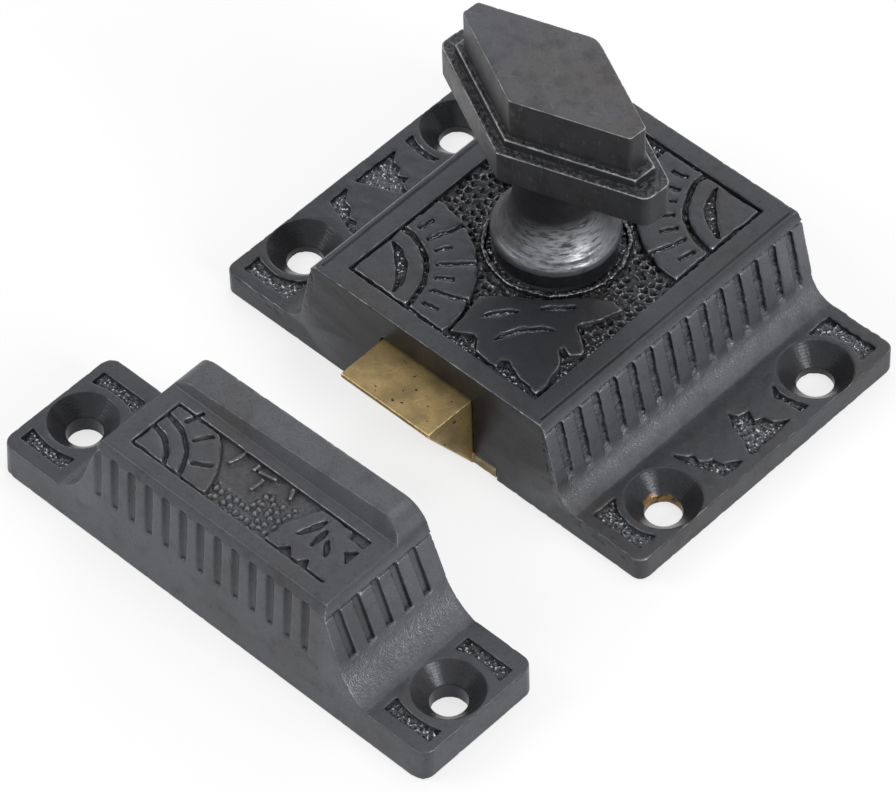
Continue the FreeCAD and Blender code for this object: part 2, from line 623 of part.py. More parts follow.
def case_ornament(body):
    """Grooves of the fans and vein slits of the leaves."""
    sketch = new_sketch(body, "case_ornament", "XY_Plane", "block_height")
    lens = f"fan_lens_reach * {DRAWN}"
    lens_outer = f"fan_lens_outer * {DRAWN}"
    lens_inner = f"fan_lens_inner * {DRAWN}"
    groove = f"fan_groove * {DRAWN}"
    groove_outer = f"(fan_groove + fan_groove_width) * {DRAWN}"
    for sign in ("1", "-1"):
        def fan_place(x, y):
            return (f"{sign} * ({FAN_X} + {x})", f"{sign} * ({FAN_Y} + {y})")

        outline(sketch, [
            fan_place(lens, "0") + (lens_outer, 1),
            fan_place("0", lens) + (lens_inner, -1),
        ])
        outline(sketch, [
            fan_place(groove, "0"),
            fan_place(groove_outer, "0") + (groove_outer, 1),
            fan_place("0", groove_outer),
            fan_place("0", groove) + (groove, -1),
        ])
        for index in range(7):
            length = "long" if index % 2 else "short"
            direction = f"(fan_slot_first + {index} * fan_slot_step)"
            ends = (f"fan_{length}_start * {DRAWN}", f"fan_{length}_end * {DRAWN}")
            outline(sketch, slot_corners(FAN_X, FAN_Y, direction, *ends, "fan_slot_width", sign))
        for slit in SLITS:
            outline(sketch, slit_corners(panel_leaf_place(sign), DRAWN, *slit, "slit_width"))
    pocket(body, sketch, "ornament_depth")


def case_hollow(body):
    """Hollow at the back, slot for the bolt, boss and bore for the spindle, rebate for the cover."""
    hollow = new_sketch(body, "case_hollow", "XY_Plane")
    rectangle(hollow, f"-({HOLLOW})", FRONT_INSIDE, HOLLOW, REAR_INSIDE)
    pocket(body, hollow, "hollow_height", reverse=True)
    slots = (
        ("bolt_slot", "bolt_width / 2 + slide_gap", "bolt_top + slide_gap"),
        ("flange_slot", HOLLOW, "flange_thick + slide_gap"),
    )
    for name, half, depth in slots:
        slot = new_sketch(body, name, "XY_Plane")
        rectangle(slot, f"-({half})", f"{FRONT} - overcut", half, FRONT_INSIDE)
        pocket(body, slot, depth, reverse=True)
    boss = new_sketch(body, "case_boss", "XY_Plane", BOSS_END)
    circle(boss, "0", "0", "boss_dia")
    pad(body, boss, f"hollow_height - ({BOSS_END})")
    bore = new_sketch(body, "case_bore", "XY_Plane", "block_height")
    circle(bore, "0", "0", "spindle_dia + 2 * running_gap")
    pocket(body, bore)
    rebate = new_sketch(body, "cover_rebate", "XY_Plane")
    half = f"{COVER_HALF} + cover_fit"
    rectangle(rebate, f"-({half})", "cover_front - cover_fit", half, f"{COVER_REAR} + cover_fit")
    pocket(body, rebate, "cover_thick", reverse=True)
    threads = new_sketch(body, "cover_threads", "XY_Plane")
    for x in (f"-{SCREW_X}", SCREW_X):
        circle(threads, x, "screw_place", "screw_dia + 2 * thread_gap")
    pocket(body, threads, "screw_length + overcut", reverse=True)


def make_case():
    """One iron casting."""
    body = new_body("latch_case")
    case_profile(body)
    case_holes(body)
    case_ears(body)
    case_flutes(body)
    case_panel(body)
    case_ornament(body)
    case_hollow(body)
    return body


# Knob: squared spindle, turned foot and neck, stepped diamond head.

def diamond(sketch, reach="0", side="0", tip="0"):
    """Rhombus with cut tips, larger than the diamond top by a reach, a side and a tip width."""
    half_length = f"(diamond_length / 2 + {reach})"
    half_width = f"(diamond_width / 2 + {side})"
    half_tip = f"(diamond_tip + {tip}) / 2"
    outline(sketch, [
        (half_length, f"-{half_tip}"),
        (half_length, half_tip),
        ("0", half_width),
        (f"-{half_length}", half_tip),
        (f"-{half_length}", f"-{half_tip}"),
        ("0", f"-{half_width}"),
    ])


def head_sketch(body, name, height):
    """A sketch of the head, turned as the head sits on its spindle."""
    sketch = new_sketch(body, name, "XY_Plane", height)
    sketch.setExpression("AttachmentOffset.Rotation.Angle", bound("head_turn"))
    return sketch


def round_upright(body, base, top, radius, chosen):
    """Round the upright edges between two heights whose place passes a test."""
    low, high = number(base), number(top)

    def upright(edge):
        box = edge.BoundBox
        return abs(box.ZMin - low) < 1e-6 and abs(box.ZMax - high) < 1e-6 and chosen(box.Center)

    return dress_edges(body, "PartDesign::Fillet", "Radius", radius, upright)


def make_knob():
    """One iron casting, turned at its foot and neck."""
    body = new_body("latch_knob")
    foot = f"{PANEL_FLOOR} + foot_gap"
    bead = f"{foot} + collar_height"
    stem = new_sketch(body, "knob_stem", "XZ_Plane")
    outline(stem, [
        ("0", CAM_TOP),
        ("spindle_dia / 2", CAM_TOP),
        ("spindle_dia / 2", foot),
        ("collar_dia / 2", foot),
        ("collar_dia / 2", bead),
        ("bead_dia / 2", bead),
        ("bead_dia / 2", f"{bead} + bead_height / 2", "bead_round", 1),
        ("bell_dia / 2", f"{bead} + bead_height", "bell_round", -1),
        ("neck_dia / 2", "neck_height", "neck_flare", -1),
        ("neck_flare_dia / 2", "head_base"),
        ("0", "head_base"),
    ])
    revolve(body, stem)
    square = new_sketch(body, "knob_square", "XY_Plane", "cam_base")
    rectangle(square, "-square_size / 2", "-square_size / 2", "square_size / 2", "square_size / 2")
    pad(body, square, "cam_thick")
    rivet = new_sketch(body, "knob_rivet", "XY_Plane", "cam_base")
    circle(rivet, "0", "0", "rivet_dia")
    pad(body, rivet, "rivet_thick", reverse=True)
    under = head_sketch(body, "head_under", "head_base")
    diamond(under, "under_reach", "under_side", "under_tip")
    spread = head_sketch(body, "head_spread", "tier_base")
    diamond(spread, "tier_reach", "tier_side", "tier_tip")
    loft = body.newObject("PartDesign::AdditiveLoft", "head_loft")
    loft.Profile = under
    loft.Sections = [spread]
    loft.Ruled = True
    finish_feature(body, loft, True)
    step_base = "tier_base + tier_height"
    tier = head_sketch(body, "head_tier", "tier_base")
    diamond(tier, "tier_reach", "tier_side", "tier_tip")
    pad(body, tier, "tier_height")
    tip = number("diamond_length / 2")
    round_upright(body, "tier_base", step_base, "tier_round", lambda place: abs(place.x) > tip)
    step = head_sketch(body, "head_step", step_base)
    diamond(step, "step_reach", "step_side", "step_tip")
    pad(body, step, "step_height")
    crown_base = f"{step_base} + step_height"
    crown = head_sketch(body, "head_diamond", crown_base)
    diamond(crown)
    pad(body, crown, f"diamond_top - ({crown_base})")
    round_upright(body, crown_base, "diamond_top", "diamond_worn", lambda place: place.y > tip / 3)
    round_upright(body, crown_base, "diamond_top", "diamond_round", lambda place: place.y < tip / 3)
    return body


# Cam: an involute lobe, so that the bolt moves evenly with the knob.

def make_cam():
    """Steel cam riveted on the spindle's square. Its lobe is an involute of the base circle."""
    base, lead = number("cam_radius"), number("cam_lead")
    roll = lead + math.radians(number("cam_turn"))
    hub = number("cam_hub_dia") / 2
    lobe = []
    steps = 10
    for step in range(steps + 1):
        here = roll * step / steps
        back = lead - here
        x, y = base, base * here
        lobe.append(FreeCAD.Vector(
            x * math.cos(back) - y * math.sin(back),
            x * math.sin(back) + y * math.cos(back),
            0))
    curve = Part.BSplineCurve()
    curve.interpolate(lobe)
    tip = lobe[-1]
    heel = math.atan2(tip.y, tip.x) - math.acos(hub / tip.Length)
    heel_point = FreeCAD.Vector(hub * math.cos(heel), hub * math.sin(heel), 0)
    root = math.atan2(lobe[0].y, lobe[0].x)
    root_point = FreeCAD.Vector(hub * math.cos(root), hub * math.sin(root), 0)
    far = (root + heel) / 2 + math.pi
    far_point = FreeCAD.Vector(hub * math.cos(far), hub * math.sin(far), 0)
    edges = [
        Part.LineSegment(heel_point, tip).toShape(),
        curve.toShape(),
        Part.LineSegment(lobe[0], root_point).toShape(),
        Part.Arc(root_point, far_point, heel_point).toShape(),
    ]
    plate = Part.Face(Part.Wire(Part.__sortEdges__(edges)))
    hole = number("square_size / 2 + square_fit")
    square = Part.makePlane(2 * hole, 2 * hole, FreeCAD.Vector(-hole, -hole, 0))
    cam = doc.addObject("Part::Feature", "throw_cam")
    cam.Shape = plate.cut(square).extrude(FreeCAD.Vector(0, 0, number("cam_thick")))
    cam.Label = "throw_cam"
    cam.setExpression("Placement.Base.z", bound("cam_base"))
    return cam


# Bolt: bevelled nose, foot in the flange slot, tail that reaches round the cam, post for the spring.

SHOULDER = f"{FRONT_INSIDE} + slide_gap"
SHOULDER_BACK = f"{SHOULDER} + shoulder_length"
LUG_FACE = "cam_radius * cam_lead + follower_gap"
BAR_BACK = "bar_start + bar_width"


def make_bolt():
    """One brass casting."""
    body = new_body("latch_bolt")
    nose = new_sketch(body, "bolt_nose", "YZ_Plane")
    outline(nose, [
        (FRONT, "floor_gap"),
        (SHOULDER, "floor_gap"),
        (SHOULDER, "tail_base"),
        (f"{SHOULDER} + block_tail", "tail_base"),
        (f"{SHOULDER} + block_tail", "bolt_top"),
        (f"{FRONT} - bolt_reach", "bolt_top"),
        (f"{FRONT} - bolt_reach", "bolt_top - nose_land"),
    ])
    pad(body, nose, "bolt_width", symmetric=True)
    foot = new_sketch(body, "bolt_foot", "XY_Plane", "floor_gap")
    rectangle(foot, "-flange_length / 2", f"{FRONT} + floor_gap", "flange_length / 2", SHOULDER)
    pad(body, foot, "flange_thick - floor_gap")
    tail = new_sketch(body, "bolt_tail", "XY_Plane", "tail_base")
    half = "flange_length / 2"
    outline(tail, [
        (f"-{half}", SHOULDER),
        (half, SHOULDER),
        (half, f"{SHOULDER_BACK} + stub_length"),
        (f"{half} - rail_width", f"{SHOULDER_BACK} + stub_length"),
        (f"{half} - rail_width", SHOULDER_BACK),
        (f"rail_width - {half}", SHOULDER_BACK),
        (f"rail_width - {half}", "bar_start"),
        (f"{half} - lug_width", "bar_start"),
        (f"{half} - lug_width", LUG_FACE),
        (half, LUG_FACE),
        (half, BAR_BACK),
        (f"-{half}", BAR_BACK),
    ])
    pad(body, tail, f"{CAM_TOP} - tail_base")
    post = new_sketch(body, "bolt_post", "XY_Plane", "tail_base")
    rectangle(post, "-post_length / 2", "bar_start", "post_length / 2", BAR_BACK)
    pad(body, post, "post_top - tail_base")
    spigot = new_sketch(body, "bolt_spigot", "XZ_Plane", f"-({BAR_BACK})")
    circle(spigot, "0", "spring_axis", "spigot_dia")
    pad(body, spigot, "spigot_length", reverse=True)
    return body


def make_spring():
    """Coil spring between the bolt's post and the rear wall."""
    body = new_body("bolt_spring")
    start = f"{BAR_BACK} + spring_gap"
    section = new_sketch(body, "spring_wire", "XY_Plane", "spring_axis")
    circle(section, "(spring_dia - wire_dia) / 2", f"{start} + wire_dia / 2", "wire_dia")
    coil = body.newObject("PartDesign::AdditiveHelix", "spring_coil")
    coil.Profile = section
    coil.ReferenceAxis = (section, ["V_Axis"])
    coil.Mode = "height-turns-angle"
    coil.setExpression("Height", bound(f"{REAR_INSIDE} - spring_gap - wire_dia - ({start})"))
    coil.setExpression("Turns", bound("spring_turns"))
    finish_feature(body, coil, True)
    return body


def make_cover():
    """Sheet-steel cover over the hollow, let into the back."""
    body = new_body("back_cover")
    sheet_outline = new_sketch(body, "cover_outline", "XY_Plane")
    rectangle(sheet_outline, f"-({COVER_HALF})", "cover_front", COVER_HALF, COVER_REAR)
    pad(body, sheet_outline, "cover_thick")
    round_corners(body, "cover_corner")
    holes = new_sketch(body, "cover_holes", "XY_Plane", "cover_thick")
    for x in (f"-{SCREW_X}", SCREW_X):
        circle(holes, x, "screw_place", "screw_dia + 2 * thread_gap")
    pocket(body, holes)
    countersink(body, "0", "(screw_dia + 2 * thread_gap)", "(screw_head_dia + 2 * thread_gap)")
    return body


def make_screws():
    """Two slotted countersunk screws that hold the cover."""
    head_drop = "(screw_head_dia - screw_dia) / 2"
    head = doc.addObject("Part::Cone", "screw_head")
    head.setExpression("Radius1", bound("screw_head_dia / 2"))
    head.setExpression("Radius2", bound("screw_dia / 2"))
    head.setExpression("Height", bound(head_drop))
    shank = doc.addObject("Part::Cylinder", "screw_shank")
    shank.setExpression("Radius", bound("screw_dia / 2"))
    shank.setExpression("Height", bound("screw_length"))
    screw = doc.addObject("Part::Fuse", "screw_blank")
    screw.Base = head
    screw.Tool = shank
    slot = doc.addObject("Part::Box", "screw_slot_cut")
    slot.setExpression("Length", bound("screw_head_dia"))
    slot.setExpression("Width", bound("screw_slot"))
    slot.setExpression("Height", bound("screw_slot"))
    slot.setExpression("Placement.Base.x", bound("-screw_head_dia / 2"))
    slot.setExpression("Placement.Base.y", bound("-screw_slot / 2"))
    slotted = doc.addObject("Part::Cut", "slotted_screw")
    slotted.Base = screw
    slotted.Tool = slot
    slotted.setExpression("Placement.Base.x", bound(SCREW_X))
    slotted.setExpression("Placement.Base.y", bound("screw_place"))
    other = doc.addObject("Part::Mirroring", "other_screw")
    other.Source = slotted
    other.Normal = FreeCAD.Vector(1, 0, 0)
    pair = doc.addObject("Part::Compound", "cover_screws")
    pair.Links = [slotted, other]
    pair.Label = "cover_screws"
    doc.recompute()
    return pair


# Keeper: ears, block with fluted front and ends, ridge on the latch side, pocket for the bolt.

KEEPER_FRONT = "-keeper_width / 2"
KEEPER_SIDE = "keeper_width / 2"
KEEPER_FOOT = "keeper_length / 2 - keeper_ear"
KEEPER_COVE_TOP = f"{KEEPER_FOOT} - keeper_cove_run"
KEEPER_SLOPE_TOP = f"{KEEPER_COVE_TOP} - keeper_slope_run"
KEEPER_BLOCK = f"({KEEPER_SLOPE_TOP} - keeper_end_run)"
KEEPER_SLOPE_LEVEL = "keeper_top - keeper_end_drop"
KEEPER_HOLE = "(keeper_length / 2 - keeper_hole_inset)"
BEVEL_LEVEL = "keeper_top - keeper_bevel_drop"
FRONT_PITCH = f"(2 * {KEEPER_BLOCK} - 2 * front_flute_margin) / (front_flute_count - 1)"
END_PITCH = "(keeper_width - 2 * end_flute_margin) / (end_flute_count - 1)"
SMALL_X = f"({KEEPER_BLOCK} - keeper_panel_border)"
SMALL_FRONT = "(keeper_panel_front - keeper_width / 2)"
SMALL_BACK = "(keeper_width / 2 - keeper_panel_back)"
SMALL_DEEP = f"({SMALL_BACK} - {SMALL_FRONT})"
SMALL_DRAWN = f"min(2 * {SMALL_X} / small_drawn_length; {SMALL_DEEP} / small_drawn_width)"
SMALL_FAN_X = f"-{SMALL_X}"
SMALL_FAN_DROP = f"small_fan_drop * {SMALL_DRAWN}"
SMALL_FAN_Y = f"{SMALL_FRONT} - {SMALL_FAN_DROP}"


def keeper_block(body):
    """Section across the keeper carried along X, then everything above the ends' profile cut away."""
    section = new_sketch(body, "keeper_section", "YZ_Plane")
    outline(section, [
        (KEEPER_FRONT, "0"),
        (KEEPER_SIDE, "0"),
        (KEEPER_SIDE, "ridge_top"),
        (f"{KEEPER_SIDE} - ridge_width", "ridge_top"),
        (f"{KEEPER_SIDE} - ridge_width - ridge_slope", "keeper_top"),
        (f"{KEEPER_FRONT} + keeper_lean + keeper_bevel_run", "keeper_top"),
        (f"{KEEPER_FRONT} + keeper_lean", BEVEL_LEVEL),
    ])
    pad(body, section, "keeper_length", symmetric=True)
    rise, low_rise = "(ridge_top - keeper_top)", "(ridge_low - keeper_top)"
    shoulder = f"(ridge_shoulder ^ 2 + {rise} ^ 2) / (2 * {rise})"
    low_shoulder = f"(ridge_low_shoulder ^ 2 + {low_rise} ^ 2) / (2 * {low_rise})"
    right = [
        ("keeper_length / 2 + overcut", "keeper_thick"),
        (KEEPER_FOOT, "keeper_thick", "keeper_cove_radius", -1),
        (KEEPER_COVE_TOP, "keeper_cove_height"),
        (KEEPER_SLOPE_TOP, f"{KEEPER_SLOPE_LEVEL} - line_width"),
        (f"{KEEPER_SLOPE_TOP} - line_depth", f"{KEEPER_SLOPE_LEVEL} - line_width"),
        (f"{KEEPER_SLOPE_TOP} - line_depth", KEEPER_SLOPE_LEVEL),
        (KEEPER_SLOPE_TOP, KEEPER_SLOPE_LEVEL),
        (KEEPER_BLOCK, "keeper_top", shoulder, 1),
    ]
    crest = [
        (f"{KEEPER_BLOCK} - ridge_shoulder", "ridge_top"),
        (f"ridge_low_shoulder - {KEEPER_BLOCK}", "ridge_low", low_shoulder, 1),
    ]
    above = [
        ("-keeper_length / 2 - overcut", "ridge_top + overcut"),
        ("keeper_length / 2 + overcut", "ridge_top + overcut"),
    ]
    ends = new_sketch(body, "keeper_ends", "XZ_Plane")
    outline(ends, right + crest + mirrored(right) + above)
    pocket(body, ends, "keeper_width + 2 * overcut", symmetric=True)
    round_corners(body, "keeper_corner")


def keeper_holes(body):
    """Two countersunk screw holes in the ears, with sunk strips beside them."""
    sketch = new_sketch(body, "keeper_holes", "XY_Plane", "keeper_thick")
    for x in (f"-{KEEPER_HOLE}", KEEPER_HOLE):
        circle(sketch, x, "0", "hole_dia")
    pocket(body, sketch)
    countersink(body, "keeper_thick", "hole_dia", "keeper_rim_dia")
    strips = new_sketch(body, "keeper_strips", "XY_Plane", "keeper_thick")
    for x in (f"-{KEEPER_HOLE}", KEEPER_HOLE):
        for end in (1, -1):
            outline(strips, [
                (f"{x} - strip_length / 2", f"{end} * strip_start"),
                (f"{x} - strip_length / 2", f"{end} * strip_end"),
                (f"{x} + strip_length / 2", f"{end} * strip_end"),
                (f"{x} + strip_length / 2", f"{end} * strip_start", "strip_arc", end),
            ])
    pocket(body, strips, "recess_depth")


def keeper_flutes(body):
    """Half-round flutes that follow the leaning front face, and flutes down both ends."""
    first = f"front_flute_place - {KEEPER_BLOCK} + front_flute_margin"
    front = new_sketch(body, "front_flute", "XY_Plane", BEVEL_LEVEL)
    circle(front, first, f"{KEEPER_FRONT} + keeper_lean", "front_flute_width")
    length = f"{BEVEL_LEVEL} - front_flute_foot"
    lean = f"-keeper_lean / ({BEVEL_LEVEL}) - front_flute_fade / ({length})"
    cut = pocket(body, front, length, lean=lean)
    row_of_cuts(body, cut, "X_Axis", FRONT_PITCH, "front_flute_count")
    inner = [
        (f"{KEEPER_SLOPE_TOP} - flute_depth", f"{KEEPER_SLOPE_LEVEL} - line_width"),
        (f"{KEEPER_COVE_TOP} - flute_depth", "end_flute_foot"),
        (KEEPER_FOOT, "end_flute_foot"),
        (KEEPER_FOOT, f"{KEEPER_SLOPE_LEVEL} - line_width"),
    ]
    ends = new_sketch(body, "end_flute", "XZ_Plane", "keeper_width / 2 - end_flute_margin")
    outline(ends, inner)
    outline(ends, mirrored(inner))
    cut = pocket(body, ends, "flute_width", symmetric=True)
    row_of_cuts(body, cut, "Y_Axis", END_PITCH, "end_flute_count")


def keeper_panel(body):
    """Sunk panel with a fan at one end, a leaf at the other and a twig between."""
    def leaf_place(x, y):
        return (f"{SMALL_X} - ({x}) * {SMALL_DRAWN}", f"{SMALL_FRONT} + ({y}) * {SMALL_DRAWN}")

    left = f"{SMALL_FAN_X} + small_margin"
    front = f"{SMALL_FRONT} + small_margin"
    back = f"{SMALL_BACK} - small_margin"
    fan = f"(small_fan_radius * {SMALL_DRAWN})"
    level = f"({SMALL_FAN_DROP} + small_margin)"
    sunk = new_sketch(body, "keeper_panel", "XY_Plane", "keeper_top")
    rectangle(sunk, f"-{SMALL_X}", SMALL_FRONT, SMALL_X, SMALL_BACK)
    outline(sunk, [
        (left, front),
        (f"{SMALL_FAN_X} + sqrt({fan} ^ 2 - {level} ^ 2)", front, fan, 1),
        (f"{SMALL_FAN_X} + sqrt({fan} ^ 2 - ({back} - ({SMALL_FAN_Y})) ^ 2)", back),
        (left, back),
    ])
    outline(sunk, [leaf_place(str(x), str(y)) for x, y in SMALL_LEAF])
    for start, end in TWIG:
        direction = math.degrees(math.atan2(end[1] - start[1], end[0] - start[0]))
        length = math.hypot(end[1] - start[1], end[0] - start[0])
        root = (f"{start[0]} * {SMALL_DRAWN}", f"{SMALL_FRONT} + {start[1]} * {SMALL_DRAWN}")
        reach = f"{length:.3f} * {SMALL_DRAWN}"
        outline(sunk, slot_corners(*root, f"{direction:.2f}", "0", reach, "twig_width"))
    pocket(body, sunk, "panel_depth")
    carved = new_sketch(body, "keeper_ornament", "XY_Plane", "keeper_top")
    for name in ("first", "second"):
        inner = f"(small_fan_{name}_arc * {SMALL_DRAWN})"
        outer = f"({inner} + small_groove)"
        outline(carved, [
            (f"{SMALL_FAN_X} + sqrt({inner} ^ 2 - {level} ^ 2)", front),
            (f"{SMALL_FAN_X} + sqrt({outer} ^ 2 - {level} ^ 2)", front, outer, 1),
            (SMALL_FAN_X, f"{SMALL_FAN_Y} + {outer}"),
            (SMALL_FAN_X, f"{SMALL_FAN_Y} + {inner}", inner, -1),
        ])
    for direction in SMALL_FAN_SLOTS:
        ends = (f"small_slot_start * {SMALL_DRAWN}", f"small_slot_end * {SMALL_DRAWN}")
        outline(carved, slot_corners(SMALL_FAN_X, SMALL_FAN_Y, direction, *ends, "small_groove"))
    for slit in SMALL_SLITS:
        outline(carved, slit_corners(leaf_place, SMALL_DRAWN, *slit, "slit_width"))
    pocket(body, carved, "ornament_depth")


def keeper_pocket(body):
    """Pocket that takes the bolt's nose, open to the latch and to the back."""
    sketch = new_sketch(body, "keeper_pocket", "XY_Plane")
    half = "(bolt_width / 2 + pocket_gap)"
    rectangle(sketch, f"-{half}", f"{KEEPER_SIDE} - pocket_deep", half, f"{KEEPER_SIDE} + overcut")
    pocket(body, sketch, "bolt_top + pocket_headroom", reverse=True)


def make_keeper():
    """One iron casting that stands in front of the bolt."""
    body = new_body("keeper")
    keeper_block(body)
    keeper_holes(body)
    keeper_flutes(body)
    keeper_panel(body)
    keeper_pocket(body)
    body.setExpression("Placement.Base.x", bound("keeper_x"))
    body.setExpression("Placement.Base.y", bound("keeper_y"))
    return body


def check(parts):
    """Stop if any object failed or any sub-part is not a valid solid."""
    doc.recompute()
    failed = [item.Name for item in doc.Objects if "Invalid" in item.State or "Error" in item.State]
    if failed:
        raise RuntimeError(f"failed objects: {failed}")
    for part in parts:
        if part.Shape.isNull() or not part.Shape.isValid() or not part.Shape.Solids:
            raise RuntimeError(f"{part.Label} is not a valid solid")


parts = [
    make_case(), make_knob(), make_cam(), make_bolt(),
    make_spring(), make_cover(), make_screws(), make_keeper(),
]
check(parts)
os.makedirs("parts", exist_ok=True)
for part in parts:
    part.Shape.exportStep(f"parts/{part.Label}.step")
    print(f"{part.Label}: {len(part.Shape.Solids)} solid, {part.Shape.Volume:.1f} mm3")
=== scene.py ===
import logging
import math
from dataclasses import dataclass, field
from enum import Enum
from typing import Any

import bmesh
import bpy
import numpy as np
from mathutils import Matrix, Vector


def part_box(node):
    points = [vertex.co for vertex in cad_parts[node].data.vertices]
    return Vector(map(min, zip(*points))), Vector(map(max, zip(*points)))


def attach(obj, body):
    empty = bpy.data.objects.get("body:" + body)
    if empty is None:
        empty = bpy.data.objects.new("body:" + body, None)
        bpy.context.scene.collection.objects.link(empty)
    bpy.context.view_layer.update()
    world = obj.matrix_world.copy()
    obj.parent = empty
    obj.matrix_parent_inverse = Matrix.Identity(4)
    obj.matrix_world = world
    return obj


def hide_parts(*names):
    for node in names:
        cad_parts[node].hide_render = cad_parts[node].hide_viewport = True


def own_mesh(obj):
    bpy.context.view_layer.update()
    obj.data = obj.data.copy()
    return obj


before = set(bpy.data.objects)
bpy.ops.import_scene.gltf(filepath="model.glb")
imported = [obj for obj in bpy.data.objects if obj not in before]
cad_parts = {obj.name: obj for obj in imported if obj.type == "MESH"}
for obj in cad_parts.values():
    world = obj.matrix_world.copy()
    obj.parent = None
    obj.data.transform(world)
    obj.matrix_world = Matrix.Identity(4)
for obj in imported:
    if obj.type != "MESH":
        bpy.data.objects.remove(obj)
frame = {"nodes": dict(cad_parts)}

# Cupboard latch with a diamond turn knob, and its keeper. The castings get their worn skin here.
# Sizes are in millimetres in this file; finished meshes are in metres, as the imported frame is.

LOG = logging.getLogger("cupboard_latch")
MM = 0.001
NO_LOWER = -1.0
NO_UPPER = 99.0
HALF = 0.5
WHITE = (1.0, 1.0, 1.0, 1.0)
Triple = tuple[float, float, float]
Colour = Triple
Masks = dict[str, np.ndarray]


class Body(Enum):
    """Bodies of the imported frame."""

    CASE = "case"
    KNOB = "knob"
    BOLT = "bolt"


class Slot(Enum):
    """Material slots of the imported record."""

    IRON = "blackened_iron"
    GROUND = "ground_iron"
    BRASS = "bolt_brass"
    STEEL = "plain_steel"


# Node trees


class Graph:
    """A node tree, and the one way that nodes are added to it."""

    def __init__(self, tree: bpy.types.NodeTree) -> None:
        """Wrap a tree.

        Args:
            tree: shader or geometry node tree.
        """
        self.tree = tree

    def feed(self, socket: bpy.types.NodeSocket, value: Any) -> None:
        """Set a socket's value, or link what feeds it.

        Args:
            socket: the input socket.
            value: a wire, a node socket or a plain value.
        """
        if isinstance(value, Wire):
            value = value.socket
        if isinstance(value, bpy.types.NodeSocket):
            self.tree.links.new(value, socket)
        else:
            socket.default_value = value

    def node(
        self,
        kind: str,
        settings: dict[str, Any] | None = None,
        sockets: dict[str | int, Any] | None = None,
        out: str | int = 0,
    ) -> "Wire":
        """Add a node.

        Args:
            kind: Blender's name of the node's type.
            settings: the node's own properties, set first.
            sockets: values or links of its inputs, by name or number.
            out: the output that is returned.

        Returns:
            The chosen output.
        """
        made = self.tree.nodes.new(kind)
        for name, value in (settings or {}).items():
            setattr(made, name, value)
        for name, value in (sockets or {}).items():
            self.feed(made.inputs[name], value)
        return Wire(self, made.outputs[out]) if made.outputs else Wire(self, None)

    def maths(self, operation: str, *values: Any) -> "Wire":
        """Add a Math node for one to three values."""
        return self.node("ShaderNodeMath", {"operation": operation}, dict(enumerate(values)))

    def vector(self, operation: str, *values: Any) -> "Wire":
        """Add a Vector Math node for one or two vectors."""
        return self.node("ShaderNodeVectorMath", {"operation": operation}, dict(enumerate(values)))

    def step(self, value: Any, low: float, high: float) -> "Wire":
        """Smooth step.

        Args:
            value: what is measured.
            low: value that gives 0.
            high: value that gives 1.

        Returns:
            A wire between 0 and 1.
        """
        settings = {"interpolation_type": "SMOOTHSTEP"}
        return self.node("ShaderNodeMapRange", settings, {0: value, 1: low, 2: high, 3: 0.0, 4: 1.0})

    def tint(self, share: Any, first: Any, second: Any) -> "Wire":
        """Mix two colours.

        Args:
            share: share of the second colour.
            first: colour or wire.
            second: colour or wire.

        Returns:
            The mixed colour.
        """
        colours = [value if isinstance(value, Wire) else (*value, 1.0) for value in (first, second)]
        sockets = {0: share, 6: colours[0], 7: colours[1]}
        return self.node("ShaderNodeMix", {"data_type": "RGBA"}, sockets, 2)

    def noise(self, place: Any, scale: float, detail: float = 2.0, seed: float = 0.0) -> "Wire":
        """Noise between 0 and 1.

        Args:
            place: coordinates, in millimetres.
            scale: waves in a millimetre.
            detail: octaves.
            seed: slice of the noise.

        Returns:
            The noise's value.
        """
        sockets = {"Vector": place, "W": seed, "Scale": scale, "Detail": detail}
        return self.node("ShaderNodeTexNoise", {"noise_dimensions": "4D"}, sockets)


@dataclass(frozen=True)
class Wire:
    """An output socket whose arithmetic adds Math nodes."""

    graph: Graph
    socket: bpy.types.NodeSocket | None

    def __add__(self, other: Any) -> "Wire":
        """Sum."""
        return self.graph.maths("ADD", self, other)

    def __radd__(self, other: Any) -> "Wire":
        """Sum with a number first."""
        return self.graph.maths("ADD", other, self)

    def __sub__(self, other: Any) -> "Wire":
        """Difference."""
        return self.graph.maths("SUBTRACT", self, other)

    def __rsub__(self, other: Any) -> "Wire":
        """Difference with a number first."""
        return self.graph.maths("SUBTRACT", other, self)

    def __mul__(self, other: Any) -> "Wire":
        """Product."""
        return self.graph.maths("MULTIPLY", self, other)

    def __rmul__(self, other: Any) -> "Wire":
        """Product with a number first."""
        return self.graph.maths("MULTIPLY", other, self)

    def __truediv__(self, other: Any) -> "Wire":
        """Quotient."""
        return self.graph.maths("DIVIDE", self, other)

    def __rtruediv__(self, other: Any) -> "Wire":
        """Quotient with a number first."""
        return self.graph.maths("DIVIDE", other, self)


